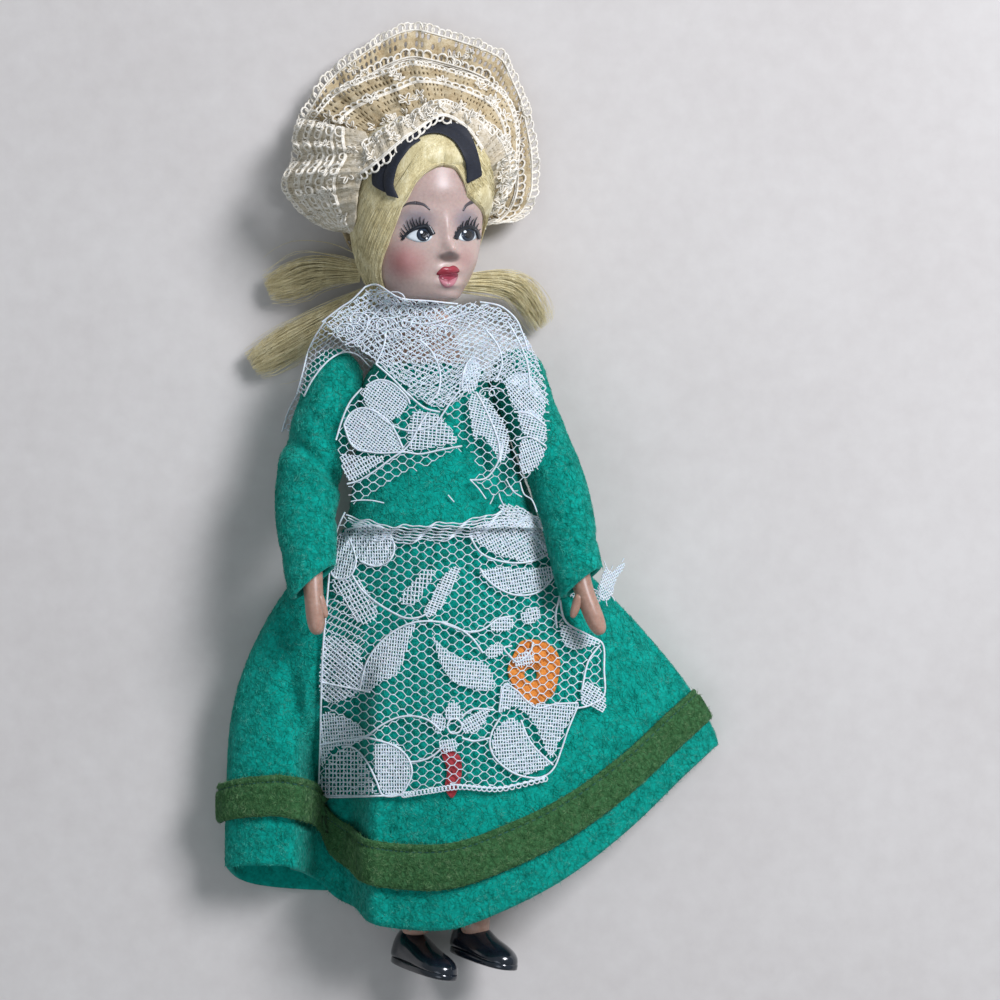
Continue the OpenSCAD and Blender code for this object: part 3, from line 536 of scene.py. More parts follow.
# thin pressed felt: matt and bright, so that it shows through the lace
felt_orange, felt_red = (
    coloured(name, codes, 2, (0.9, 1.0), (0.2, 0.4), Sheen_Weight=0.2) for name, codes in (
        ("Pressed_orange_felt", ["#a35618", "#d9822f", "#e89a48"]),
        ("Pressed_red_felt", ["#7c1d24", "#a8323a", "#b9484c"])))
for name, node_name, slot, mat, middle, hole, share, rim in (
        ("orange_blossom", "orange_bit", "orange_felt", felt_orange, (531, 675), 6.5, None,
         [(508, 672), (514, 654), (522, 641), (538, 640), (552, 646), (560, 660), (558, 680), (552, 696),
          (536, 705), (520, 696)]),
        ("red_scrap", "red_bit", "red_felt", felt_red, (451, 772), 0.4, 0.31,
         [(441, 750), (458, 754), (462, 768), (459, 786), (452, 798), (445, 788), (447, 770)])):
    edge = smooth(rim, 5, closed=True)
    start = middle + hole * unit(edge - middle)
    bit = surface(name, on_skirt([lerp(start, edge, t) for t in (0, 0.3, 0.65, 0.93, 1)], 0.6), wrap=True)
    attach(dress(thicken(bit, 0.5), mat, slot, node_name), "torso")
    width, length = np.maximum(LEAST, np.ptp(edge, axis=0) * PIXEL * MM)

# Apron: white machine lace gathered on the waist thread. A hexagonal net carries woven petals and leaves
# outlined by a thick cord; it lies on the skirt and its right edge is drawn out and frayed.

# machine-made cotton lace: chalky white, a little light goes into each thread; the net's threads are drawn
# a little thicker than real ones so that they show
lace_white = coloured("Machine_made_cotton_lace", ["#c3cfd9", "#dbe4ea", "#f1f5f7"], 0.7, (0.75, 0.9),
                      (0.04, 0.25), Subsurface_Weight=0.1, Subsurface_Scale=0.0004)
chance = np.random.default_rng(7)


def inside(points, outline):
    """Which of the points lie inside a closed outline."""
    x, y = points[..., 0], points[..., 1]
    odd = np.zeros(x.shape, bool)
    for (x0, y0), (x1, y1) in zip(outline, list(outline[1:]) + list(outline[:1])):
        if y0 != y1:
            odd ^= ((y0 > y) != (y1 > y)) & (x < (x1 - x0) * (y - y0) / (y1 - y0) + x0)
    return odd


def runs(line, keep):
    """The stretches of a line where keep holds."""
    cuts = np.flatnonzero(np.diff(keep.astype(int))) + 1
    pairs = zip(np.split(line, cuts), np.split(keep, cuts))
    return [part for part, kept in pairs if kept[0] and len(part) > 1]


def net(outline, wide=15, high=4.4, shift=0.0, warp=1.0):
    """Threads of a hexagonal net inside an outline: rows that touch their neighbours at each turn."""
    low, top = np.min(outline, axis=0), np.max(outline, axis=0)
    found = []
    for k, y in enumerate(np.arange(low[1] - high + shift, top[1] + high, high)):
        phase = np.arange(0, (top[0] - low[0]) / wide + 2, 0.25)
        up = np.isin(np.round(phase * 4).astype(int) % 4, (2, 3)) ^ (k % 2 == 1)
        line = np.stack([low[0] - wide + (phase - 0.125) * wide, y - high / 2 + high * 0.98 * up], -1)
        line += warp * np.stack([
            1.3 * np.sin(line[:, 1] / 17 + line[:, 0] / 41) + 0.4 * np.sin(line[:, 1] / 5.3 + shift),
            2.2 * np.sin(line[:, 0] / 29 + line[:, 1] / 60) + 0.5 * np.sin(line[:, 0] / 7.1 + shift)], -1)
        line += chance.normal(0, 0.22 * warp, line.shape)
        found += runs(line, inside(line, outline))
    return found


def weave(outline, angle, gap=2.6, cross=3.5):
    """Close threads in two directions inside an outline, the ribs lying at an angle."""
    outline = smooth(outline, 4, closed=True)
    middle, reach = outline.mean(0), np.linalg.norm(np.ptp(outline, axis=0))
    found = []
    for turn, step in ((0, gap), (90, cross)):
        a = math.radians(angle + turn)
        way, side = np.array((math.cos(a), math.sin(a))), np.array((-math.sin(a), math.cos(a)))
        for d in np.arange(-reach / 2, reach / 2, step):
            t = np.arange(-reach / 2, reach / 2, 1.6)
            line = middle + t[:, None] * way + d * side + chance.normal(0, 0.16, (len(t), 2))
            found += runs(line, inside(line, outline))
    return found


def woven(shapes, *gaps):
    """The threads of several woven shapes, each an outline and the angle of its ribs."""
    return [line for shape in shapes for line in weave(*shape, *gaps)]


def lace(name, height, parts):
    """One lace piece: parts are (lines in pixels, thread radius in mm, lift in mm), laid at the height."""
    made = []
    for k, (lines, radius, lift) in enumerate(parts):
        joined = height(np.concatenate(lines), lift)
        joined[:, 2] += 0.05 * np.sin(joined[:, 0] * 3.1) * np.sin(joined[:, 1] * 2.7)
        cut = np.split(joined, np.cumsum([len(line) for line in lines])[:-1])
        made.append(threads(f"{name}_{k}" if k else name, cut, radius, lace_white, "white_lace"))
    return join(made)


def loop(x, y, r, flat=1.0, turns=1, drift=0.0, n=9):
    """Rounds of a radius in pixels about a pixel; flat is their height's share, drift their step aside."""
    t = np.linspace(0, 2 * np.pi * turns, n)
    return np.stack([x + r * np.cos(t) + drift * t, y + r * flat * np.sin(t)], -1)


apron_edge = [
    (345, 512), (362, 524), (400, 528), (440, 526), (470, 522), (500, 510), (520, 508), (540, 522),
    (552, 545), (559, 575), (560, 600), (566, 622), (590, 636), (603, 645), (604, 670), (604, 695),
    (590, 705), (578, 708), (566, 735), (556, 765), (540, 777), (500, 787), (460, 786), (430, 791),
    (400, 795), (360, 796), (318, 797), (320, 750), (321, 700), (323, 650), (327, 600), (331, 560),
    (337, 530)]
petals = [  # outline, angle of the ribs
    ([(345, 530), (362, 526), (378, 526), (388, 532), (394, 544), (393, 555), (386, 563), (374, 566),
      (362, 562), (354, 556), (346, 545)], 88),
    ([(345, 530), (336, 540), (331, 556), (330, 570), (334, 578), (344, 579), (352, 574), (356, 566),
      (352, 552)], 100),
    ([(470, 536), (478, 524), (498, 518), (520, 520), (540, 530), (552, 546), (546, 558), (528, 562),
      (506, 558), (488, 550)], 62),
    ([(480, 570), (500, 566), (520, 568), (545, 566), (556, 568), (550, 582), (536, 592), (516, 594),
      (498, 588), (484, 578)], 80),
    ([(498, 506), (510, 504), (530, 512), (544, 526), (549, 548), (540, 550), (524, 530), (508, 520)], 30),
    ([(456, 566), (461, 572), (452, 588), (446, 602), (436, 614), (428, 618), (424, 612), (432, 596),
      (440, 580), (448, 570)], 20),
    ([(362, 688), (366, 668), (374, 650), (386, 638), (402, 628), (416, 624), (410, 640), (404, 660),
      (396, 676), (380, 682), (370, 692)], 96),
    ([(432, 632), (436, 650), (442, 668), (456, 684), (478, 690), (494, 688), (490, 668), (478, 660),
      (466, 660), (452, 652), (440, 644)], 94),
    ([(490, 622), (510, 616), (514, 628), (494, 633)], 90),
    ([(520, 614), (535, 606), (541, 617), (527, 625)], 80),
    ([(486, 649), (499, 642), (504, 653), (489, 659)], 90),
    ([(512, 661), (528, 650), (535, 660), (521, 668)], 80),
    ([(374, 746), (384, 742), (396, 743), (408, 756), (412, 770), (408, 784), (400, 794), (384, 794),
      (378, 780), (374, 764)], 90),
    ([(322, 715), (340, 716), (356, 722), (366, 736), (354, 744), (342, 746), (330, 752), (322, 766)], 85),
    ([(492, 745), (494, 732), (502, 722), (514, 718), (524, 728), (532, 742), (544, 756), (550, 764),
      (538, 772), (520, 774), (504, 766), (496, 756)], 86),
    ([(500, 690), (506, 682), (516, 690), (530, 702), (548, 704), (578, 703), (570, 720), (560, 740),
      (552, 758), (545, 750), (538, 732), (528, 716), (514, 708), (499, 712)], 95),
    ([(560, 622), (574, 630), (602, 641), (590, 647), (572, 650), (562, 640)], 20),
    ([(584, 682), (598, 686), (606, 698), (604, 712), (594, 708), (580, 702)], 30),
    ([(444, 712), (452, 700), (460, 706), (462, 718), (448, 720)], 90),
    ([(462, 722), (474, 712), (490, 708), (482, 728), (466, 734)], 60),
    ([(430, 716), (440, 714), (447, 724), (438, 735)], 100),
    ([(440, 740), (452, 738), (459, 746), (450, 753), (441, 750)], 80)]
airy = [  # petals of a more open weave
    ([(332, 580), (352, 577), (362, 582), (373, 598), (378, 614), (370, 624), (356, 622), (346, 604),
      (336, 592)], 60),
    ([(398, 600), (412, 582), (424, 570), (436, 572), (424, 592), (412, 606)], 95),
    ([(324, 768), (336, 752), (350, 748), (364, 760), (372, 780), (375, 794), (345, 796), (319, 796)], 90),
    ([(324, 640), (345, 640), (360, 650), (362, 690), (322, 700)], 40)]
cords = [  # thick outlines and stems
    petals[0][0][:8] + [(360, 561)],
    [(345, 530), (352, 545), (356, 562), (350, 576), (338, 579), (331, 572), (331, 556)],
    [(352, 575), (362, 590), (376, 602), (392, 612), (406, 618), (420, 617), (430, 611)],
    [(360, 690), (366, 664), (378, 645), (396, 630), (416, 622), (440, 622), (458, 628), (472, 638),
     (483, 653)],
    [(440, 622), (456, 628), (470, 632), (484, 629), (498, 619), (514, 616)],
    [(321, 682), (340, 686), (360, 690), (370, 692)],
    [(320, 745), (340, 741), (364, 737), (380, 726), (396, 718), (412, 716), (428, 720), (441, 731)],
    [(364, 737), (384, 742), (398, 748), (408, 758), (412, 772), (407, 786), (399, 795), (383, 795),
     (376, 780), (366, 760), (354, 748), (342, 747)],
    [(404, 762), (420, 761), (434, 755), (446, 743)],
    [(470, 536), (480, 552), (496, 560), (516, 563), (536, 560), (553, 551)],
    [(480, 568), (486, 578), (498, 588), (516, 595), (536, 593), (550, 582), (558, 566)],
    [(521, 720), (528, 738), (538, 751), (553, 765)],
    [(500, 718), (492, 732), (490, 746), (496, 759), (510, 771), (526, 777), (542, 777), (554, 768),
     (562, 748), (568, 730), (578, 706)],
    [(499, 712), (504, 686), (516, 690), (526, 700), (537, 708), (556, 704), (578, 703)],
    [(559, 560), (562, 585), (556, 612), (557, 628)], [(600, 645), (588, 662), (582, 690)],
    [(447, 726), (450, 720), (457, 719), (462, 725), (459, 732), (451, 733), (447, 727)],
    [(462, 716), (474, 709), (494, 710)], [(462, 738), (474, 741), (490, 738)],
    [(512, 646), (504, 648), (510, 656), (518, 662), (530, 652), (533, 642)],
    [(318, 797), (345, 797), (376, 796), (404, 795)],
    [(450, 784), (476, 787), (500, 788), (520, 784), (545, 778)],
    apron_edge[-7:] + apron_edge[:1], apron_edge[10:18]]
gathered = []  # wavy threads drawn up along the waist
for k in range(7):
    x = np.linspace(346 + 2 * k, 543 - k, 60)
    y = 2.6 * k + np.interp(x, (346, 372, 400, 440, 470, 500, 524, 543),
                            (514, 523, 527, 524, 521, 511, 508, 522))
    gathered.append(np.stack([x, y + 1.6 * np.sin(x / 5.5 + 0.5 * k) + 0.9 * np.sin(x / 2.7 + k)], -1))
loops = [loop(x, y, 2.6) for x, y in smooth([(404, 795), (430, 791), (460, 787), (500, 789), (545, 779)], 8)]
double_edge = [(322, 600), (346, 596), (366, 620), (362, 690), (330, 712), (321, 700)]
apron = lace("apron_lace", on_skirt, [
    (net(apron_edge) + net(double_edge, shift=2.2), 0.1, 1.1),
    (woven(petals) + woven(airy, 3.6, 4.4), 0.13, 1.25),
    ([smooth(line) for line in cords], 0.2, 1.35), (gathered + loops, 0.14, 1.4)])
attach(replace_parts(apron, "lace_apron"), "torso")

# Apron's loose end: a frayed scrap of the same lace that sticks out past the left cuff.
# It is woven closely, hangs on the apron's right edge, and its cut threads stand off.


def beside_cuff(px, lift):
    """Points in mm for the scrap, which falls away from the apron's right edge beside the cuff."""
    x = np.asarray(px, float)[..., 0]
    free = np.clip((x - 570) / 30, 0, 1)  # share of the way from the apron's edge to the cuff
    return plan(px, lerp(on_skirt(px, 0.5)[..., 2], 19 - (x - 598) * 0.09, free) + lift)


scrap_edge = [
    (597, 592), (602, 575), (606, 566), (612, 571), (622, 562), (625, 566), (616, 581), (612, 596),
    (605, 601)]
frays = [smooth(line) for line in (
    [(606, 566), (604, 561)], [(611, 570), (613, 565)], [(622, 562), (624, 558)], [(612, 596), (615, 601)],
    [(606, 601), (607, 606)])]
link_edge = [(556, 566), (566, 571), (580, 580), (598, 590), (605, 600), (590, 604), (572, 598), (558, 588)]
scrap = lace("apron_end_lace", beside_cuff, [
    (weave(scrap_edge, 62, 1.9, 2.6) + weave(link_edge, 28, 2.6, 3.4), 0.13, 0.0), (frays, 0.1, 0.0)])
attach(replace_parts(scrap, "apron_scrap"), "torso")

# Shawl: the same lace wound over the shoulders, doubled on the chest and tucked in at the waist.
# Its right side lies over the left sleeve.


def on_chest(px, lift):
    """Points in mm on the shawl's front: it arches over the chest and rises to the left sleeve."""
    px = np.asarray(px, float)
    z = 23.0
    for _ in range(2):
        spot = plan(px, z)
        x, y = spot[..., 0], spot[..., 1]
        across, down = x - SHOULDER[0], np.clip((37.7 - y) / 36.7, 0, 1)  # down: from neck to waist
        z = (23.6 - across ** 2 * np.where(across < 0, 0.0055, 0.0015) - (1 - down) ** 2 * 2.4
             + np.where(across > 0, 3 * down ** 2 * (across / 23) ** 2, 0))
        chin = np.sqrt(np.maximum(0, 119 - (x + 9) ** 2)) * np.clip((y - 36.5) / 2, 0, 1)
        z = np.maximum(z, 15.5 + chin)  # the collar lies over the round of the chin
    folds = 0.5 * np.sin((px[..., 0] * 0.8 + px[..., 1]) / 6.5)
    return plan(px, z + lift + folds * bell(px[..., 0] - 450, 60) * bell(px[..., 1] - 350, 45))


shawl_edge = [
    (345, 345), (330, 340), (322, 322), (340, 308), (352, 300), (365, 287), (378, 285), (400, 298),
    (430, 301), (458, 304), (470, 303), (476, 299), (482, 303), (500, 306), (515, 318), (522, 332),
    (533, 348), (541, 368), (547, 388), (550, 406), (551, 430), (547, 450), (539, 470), (528, 478),
    (520, 482), (519, 496), (505, 497), (490, 498), (480, 490), (472, 484), (476, 470), (470, 452),
    (464, 446), (455, 430), (448, 418), (438, 412), (425, 408), (410, 396), (392, 378), (376, 364),
    (362, 352), (350, 347)]
panel_edge = [
    (375, 368), (392, 378), (410, 396), (425, 408), (440, 412), (452, 424), (460, 440), (462, 452),
    (452, 455), (440, 462), (420, 470), (400, 480), (380, 492), (352, 506), (349, 498), (344, 470),
    (337, 455), (336, 440), (342, 420), (350, 402), (360, 388), (368, 374)]
collar = [
    (330, 334), (326, 324), (342, 309), (354, 301), (366, 289), (378, 287), (400, 299), (430, 302),
    (458, 305), (472, 302), (500, 307), (515, 319), (526, 335), (535, 352), (543, 372), (548, 392),
    (550, 408), (526, 392), (505, 384), (484, 380), (470, 388), (458, 402), (442, 408), (428, 406),
    (410, 394), (392, 376), (376, 362), (352, 344)]
solid = [  # leaves: outline, angle of the ribs
    ([(362, 395), (366, 386), (378, 380), (390, 382), (402, 392), (408, 402), (404, 414), (392, 420),
      (378, 416), (368, 408)], 35),
    ([(344, 425), (350, 414), (362, 408), (376, 412), (388, 422), (398, 436), (404, 450), (390, 452),
      (374, 452), (358, 450), (348, 440)], 35),
    ([(470, 420), (468, 400), (474, 392), (484, 396), (496, 410), (506, 425), (510, 440), (508, 455),
      (500, 462), (492, 450), (482, 436), (474, 440)], 12),
    ([(505, 380), (520, 372), (534, 378), (542, 392), (546, 408), (540, 420), (525, 415), (512, 405)], 50),
    ([(518, 412), (535, 412), (546, 425), (546, 440), (535, 440), (522, 432)], 15),
    ([(520, 442), (535, 440), (545, 452), (538, 466), (528, 474), (520, 470)], 70),
    ([(466, 392), (464, 372), (470, 358), (480, 360), (480, 378), (474, 392)], 80)]
loose = [  # leaves of a more open weave
    ([(412, 412), (428, 412), (440, 416), (450, 428), (458, 442), (440, 446), (420, 450), (408, 446)], 5),
    ([(340, 455), (360, 456), (385, 456), (372, 470), (352, 482), (346, 478)], 60)]
shawl_cords = [
    [(378, 415), (390, 424), (405, 430), (420, 430), (435, 424), (444, 412), (452, 400), (460, 390)],
    [(428, 412), (420, 425), (412, 440), (404, 450), (392, 458), (376, 470), (360, 480), (347, 484)],
    [(358, 450), (380, 453), (404, 452), (420, 454), (440, 450), (462, 446)],
    [(366, 386), (378, 380), (392, 383), (406, 396), (410, 404)],
    [(344, 425), (350, 414), (362, 408), (378, 413), (392, 426), (403, 448)],
    [(344, 425), (350, 442), (358, 450)], [(336, 440), (342, 420), (350, 402), (362, 388)],
    shawl_edge[5:10], shawl_edge[2:6], [(345, 345), (362, 335), (372, 318), (390, 300)],
    [(376, 364), (384, 345), (386, 330)], [(480, 302), (500, 306), (515, 318), (522, 332), (528, 350)],
    [(400, 320), (425, 324), (450, 318), (470, 312)], [(462, 388), (464, 370), (472, 358), (484, 362)],
    [(470, 480), (486, 478), (498, 462), (503, 440)], [(476, 392), (486, 410), (498, 440), (500, 462)],
    [(514, 412), (530, 414), (546, 426)], [(516, 440), (530, 437), (546, 446)],
    [(376, 364), (392, 378), (410, 396), (425, 408), (440, 412)],
    [(420, 340), (432, 352), (440, 372), (438, 392), (428, 404)],
    [(486, 330), (498, 346), (502, 364), (496, 380)], [(508, 322), (520, 344), (528, 366), (530, 388)]]
frays = [  # cut threads that stand off; the last is the loose end at the waist
    [(520, 482), (524, 494), (532, 500), (537, 512)], [(499, 493.5), (500.5, 499), (504, 506)],
    [(470.3, 480), (479, 489), (486, 499)], [(506, 479), (513, 491), (522, 497)],
    [(351, 501.5), (359, 500.2), (372, 500.5), (384, 503)], [(493.8, 495.3), (492.5, 499), (490, 504)],
    [(448, 495), (454, 502)]]
curls = [loop(x, y, r, 0.8, 2, 1.5, 22) for x, y, r in (
    (378, 298, 8), (392, 310, 7), (370, 324, 8), (386, 334, 6), (404, 322, 7), (418, 312, 8), (352, 318, 7),
    (338, 328, 6), (430, 330, 6), (412, 360, 5), (480, 392, 5))]
shawl = lace("shawl_lace", on_chest, [
    (net(shawl_edge) + net(panel_edge), 0.09, 0.0),
    (net(collar, 9, 2.7, 0.4, 2.4) + net(collar, 10, 3.1, 1.9, 3.0), 0.1, 0.2),
    (woven(solid, 2.5, 3.2) + woven(loose, 3, 4), 0.13, 0.15),
    ([smooth(line) for line in shawl_cords], 0.19, 0.3), ([smooth(f) for f in frays] + curls, 0.13, 0.4)])
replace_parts(shawl, "shawl_front")
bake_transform(shawl)

# Shawl's back: the rest of the same lace, a plain net with a cord along its edge.
# It passes under the shoulders, lies down to the table and shows beside the right sleeve.


def under_shoulder(px, lift):
    """Points in mm under the shoulders: the lace comes down from the collar to the table."""
    px = np.asarray(px, float)
    down = np.clip((330 - px[..., 0]) / 40, -0.2, 1)  # share of the way out from the collar
    return plan(px, lerp(4.4, 1.2, down) * (down > 0) + 2.4 * (down <= 0) + lift)


back_edge = [
    (352, 345), (330, 338), (324, 322), (316, 335), (306, 360), (303, 378), (298, 392), (288, 412),
    (282, 432), (296, 436), (330, 432), (400, 425), (500, 420), (528, 380), (520, 340), (440, 330)]
back = lace("shawl_back_lace", under_shoulder, [
    (net(back_edge, 9, 3, 0.6, 2.0), 0.1, 0.0), ([smooth(back_edge[2:9])], 0.2, 0.1)])
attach(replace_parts(back, "shawl_back"), "torso")

# Shawl's shoulder: the lace over the round of the right shoulder.
# It hangs on at the collar.
DOME_X, DOME_Z, DOME = -26, 12.5, (7.6, 8.2, 8.6)  # the dome's middle, half widths and height, in mm


def over_shoulder(px, lift):
    """Points in mm on the dome of the right shoulder, round the arm's pivot."""
    spot = plan(px, 17.0)
    x, y = spot[..., 0], spot[..., 1]
    dome = np.sqrt(np.maximum(0, 1 - ((x - DOME_X) / DOME[0]) ** 2 - ((y - SHOULDER[1]) / DOME[1]) ** 2))
    return plan(px, DOME_Z + DOME[2] * dome + lift)


shoulder_edge = [
    (326, 320), (316, 335), (308, 352), (303, 372), (297, 394), (304, 396), (311, 382), (322, 367),
    (333, 357), (345, 352), (358, 355), (370, 367), (378, 364), (362, 348), (345, 340), (330, 332)]
cover = lace("shawl_shoulder_lace", over_shoulder, [
    (net(shoulder_edge, 9, 3, 0.6, 2.0), 0.1, 0.0),
    ([smooth(shoulder_edge[:5]), smooth(shoulder_edge[5:12])], 0.18, 0.1)])
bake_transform(cover)

# Head: a hollow moulding of the same plastic that turns on the neck peg, in a front and a back half.
# The brow, nose, lips, cheeks and chin are moulded; blush and eye shadow are sprayed on, and a painted shade
# lies under the nose.
HEAD = np.array([-9.5, 38.3, 16.1])
HEAD_H, HEAD_R, TURN = 33.0, 12.0, math.radians(28)
outline = spline([  # share of the height, share of the half width
    (0, 0.1), (0, 0.4), (0.02, 0.58), (0.07, 0.69), (0.14, 0.8), (0.24, 0.9), (0.36, 0.97), (0.5, 1),
    (0.64, 1.01), (0.77, 0.95), (0.87, 0.8), (0.94, 0.58), (0.985, 0.3), (1, 0.02)], np.linspace(0, 13, 140))
FOOT = 12  # where the head's surface begins on the outline


def head_spot(a, h, grow=0.0):
    """The head's plain surface in mm at the angle a from the face and the share h from chin to crown."""
    a, h, grow = np.broadcast_arrays(np.radians(a), h, grow)
    r = HEAD_R * np.interp(h, outline[FOOT:, 0], outline[FOOT:, 1]) * (1 + 0.04 * np.cos(2 * a)) + grow
    r = r + 1.2 * bell(np.degrees(np.arctan2(np.sin(a), np.cos(a))), 30) * bell(h - 0.07, 0.07)
    return np.stack([HEAD[0] + r * np.sin(a + TURN), HEAD[1] + h * (HEAD_H + grow),
                     HEAD[2] + r * np.cos(a + TURN)], -1)


def pixel(p):
    """The pixel of the 1000-pixel view over points in mm."""
    k = PIXEL * (EYE[2] - p[..., 2]) / FOCUS
    return np.stack([MIDDLE + (p[..., 0] - EYE[0]) / k, MIDDLE - (p[..., 1] - EYE[1]) / k], -1)


mouldings = [  # pixel, half widths in pixels, height in mm
    (449, 249, 6, 8, 2.0), (447, 232, 5, 14, 0.7), (441, 254, 4, 4, 0.7), (456, 253, 4, 4, 0.6),
    (449, 261, 8, 3, -0.4), (448, 270, 11, 4, 0.85), (449, 284, 9, 4, 1.0), (449, 277, 8, 3, -0.5),
    (447, 296, 13, 6, 0.8), (406, 262, 15, 15, 0.7), (474, 262, 10, 14, 0.5), (420, 231, 15, 10, -1.0),
    (466, 231, 11, 10, -0.9), (420, 236, 9, 6, 0.7), (466, 236, 8, 6, 0.6), (416, 211, 18, 6, 0.35),
    (470, 211, 10, 6, 0.3), (441, 190, 30, 16, 0.4)]
a_grid, k_grid = np.meshgrid(np.arange(0, 360, 1.5), np.arange(FOOT, len(outline)))
h_grid = outline[k_grid, 0]
plain = head_spot(a_grid, h_grid)
none = np.zeros_like(h_grid)
out = unit(plain - (HEAD + np.stack([none, h_grid * HEAD_H * 0.8 + 3, none], -1)))
seen = pixel(plain)
rise = sum(high * bell(seen[..., 0] - x, wx) * bell(seen[..., 1] - y, wy) for x, y, wx, wy, high in mouldings)
rise = rise * np.clip(out[..., 2] * 3, 0, 1)
head = surface("head_shell", plain + rise[..., None] * out, wrap=True, caps=True)
# painted plastic: paler and greyer than the bare one, with soft clouds of sprayed blush and eye shadow and a
# painted shade under the nose
skin = coloured("Painted_flesh_plastic", ["#ac938b", "#b9a097", "#c3aba1"], 30, (0.3, 0.42), (0.01, 0.6),
                Subsurface_Weight=0.12, Subsurface_Scale=0.002)
shader = skin.node_tree.nodes["Principled BSDF"]
where = add(skin, "ShaderNodeTexCoord").outputs["Object"]
shade = shader.inputs["Base Color"].links[0].from_socket
for spot, code, size, strong, edge in (  # pixel, colour, half widths in mm, strength, share that is full
        ((404, 262), "#b0575a", (4.2, 3.4, 4), 0.6, 0.1), ((476, 262), "#b0575a", (3.4, 3.4, 4), 0.6, 0.1),
        ((418, 221), "#5f6c82", (3.6, 2.4, 6), 0.6, 0.1), ((468, 221), "#5f6c82", (2.8, 2.4, 6), 0.6, 0.1),
        # painted shade: a grey-brown patch under the nose that stands for the shadow the nose casts
        ((449.5, 257.5), "#6f625d", (1.5, 0.75, 9), 0.75, 0.9)):
    middle = plan(spot, 25.0) * MM
    middle[2] = 0.026  # the face's height, in m
    away = add(skin, "ShaderNodeVectorMath", {0: where, 1: middle}, operation="SUBTRACT").outputs[0]
    scaled = add(skin, "ShaderNodeVectorMath", {0: away, 1: [1000 / s for s in size]},
                 operation="MULTIPLY").outputs[0]
    far = add(skin, "ShaderNodeVectorMath", {0: scaled}, operation="LENGTH").outputs["Value"]
    much = add(skin, "ShaderNodeMapRange", {"Value": far, "From Min": edge, "From Max": 1.5, "To Min": strong,
                                            "To Max": 0.0}, interpolation_type="SMOOTHSTEP").outputs[0]
    shade = add(skin, "ShaderNodeMix", {"Factor": much, 6: shade, 7: linear(code)},
                data_type="RGBA").outputs[2]
skin.node_tree.links.new(shade, shader.inputs["Base Color"])
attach(dress(outward(head), skin, "flesh_plastic", "head_front", "head_back"), "head")

# Painted face: brows, lashes, eyes and lips, the eyes glancing to the right.
# Each is a thin skin of enamel laid on the moulded head, the later ones over the earlier; the white discs in
# the eyes are painted highlights.
head_tree = tree(head)


def seen_on(px, trees, gap=0.0):
    """Points in mm where the camera sees the trees' foremost faces at the pixels, a gap in mm off them."""
    flat, eye = np.asarray(px, float).reshape(-1, 2), Vector(EYE * MM)
    found = np.zeros((len(flat), 3))
    for k, spot in enumerate(plan(flat, 26.0) * MM):  # any height gives the same ray
        way = (Vector(spot) - eye).normalized()
        hits = [hit for hit in (faces.ray_cast(eye, way) for faces in trees) if hit[0]]
        if hits:
            place, normal = max(hits, key=lambda hit: hit[0].z)[:2]
            found[k] = (place + normal * gap * MM) / MM
        else:
            found[k] = found[k - 1]
    return found.reshape(*np.asarray(px).shape[:-1], 3)


def sideways(line):
    """Unit directions across a line of pixels."""
    way = np.gradient(line, axis=0)
    return unit(np.stack([-way[:, 1], way[:, 0]], -1))


def enamel(name, code, shapes, gap):
    """Painted shapes of one colour: closed outlines, or strokes given with their two widths in pixels."""
    made = []
    for shape in shapes:
        stroke = isinstance(shape, tuple)
        if stroke:
            line = smooth(shape[0], 5)
            half = sideways(line) * np.linspace(shape[1], shape[2], len(line))[:, None] / 2
            skin_rows = [line - half, line, line + half]
        else:
            edge = smooth(shape, 5, closed=True)
            skin_rows = [lerp(edge.mean(0), edge, t) for t in (0.02, 0.35, 0.7, 1)]
        paint = surface(name, seen_on(skin_rows, [head_tree], gap), wrap=not stroke)
        made.append(thicken(paint, 0.05))
    painted = join(made)
    painted.name = name
    # brushed enamel: smooth and shiny, so that the features catch the lamp before the skin does
    mat = coloured("Brushed_enamel_" + name, code, 1.5, (0.25, 0.35), (0.005, 0.5))
    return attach(dress(outward(painted), mat, "flesh_plastic"), "head")


def disc(x, y, r):
    """An outline of eight points round a pixel."""
    return loop(x, y, r)[:-1]


enamel("eye_whites", ["#c9d3d9", "#e4ecef"], [
    [(406, 237), (411, 232), (418, 230), (426, 230), (431, 233), (432, 237), (428, 241), (421, 242),
     (414, 241)],
    [(457, 236), (460, 232), (466, 230), (472, 230), (476, 233), (477, 237), (473, 240), (466, 241),
     (460, 240)]], 0.06)
enamel("irises", ["#1b232e", "#323f4f"], [disc(423.5, 234.5, 6.8), disc(467.7, 234.5, 6.6)], 0.10)
enamel("pupils", ["#0a0c10", "#11141a"], [disc(424.5, 235, 3.8), disc(468, 234.5, 4.0)], 0.14)
# painted highlights: small white discs on the irises that stand for the lamp's reflection in the eyes
enamel("painted_eye_highlights", ["#e8f0f4", "#ffffff"], [
    disc(421.5, 232.5, 1.5), disc(464.5, 232, 1.4), disc(426.5, 238.5, 0.9)], 0.18)
strokes = []
for x0, y0, x1, y1 in (  # root and tip of each lash
        (405, 237, 399.5, 231), (407, 234, 400, 227), (409, 231, 403, 222.5), (411, 230, 406, 218),
        (414, 228, 409, 218), (416, 227, 411.5, 215.5), (419, 226, 415.5, 217), (421, 225, 420, 214.5),
        (424, 225, 424.5, 217), (427, 226, 428.5, 220), (405, 238, 399, 235), (456, 235, 455, 230),
        (458, 232, 457.5, 225), (460, 230, 460, 223), (462, 229, 463, 219), (465, 227, 467, 218),
        (467, 226, 470.5, 214), (470, 226, 473.5, 217), (473, 227, 477, 214.5), (475, 230, 478.5, 222),
        (476, 234, 480.5, 228)):
    x1, y1 = lerp(x0, x1, 0.85), lerp(y0, y1, 0.85)
    strokes.append(([(x0, y0 + 1), (0.5 * (x0 + x1) - 0.6, 0.5 * (y0 + y1)), (x1, y1)], 2.0, 0.4))
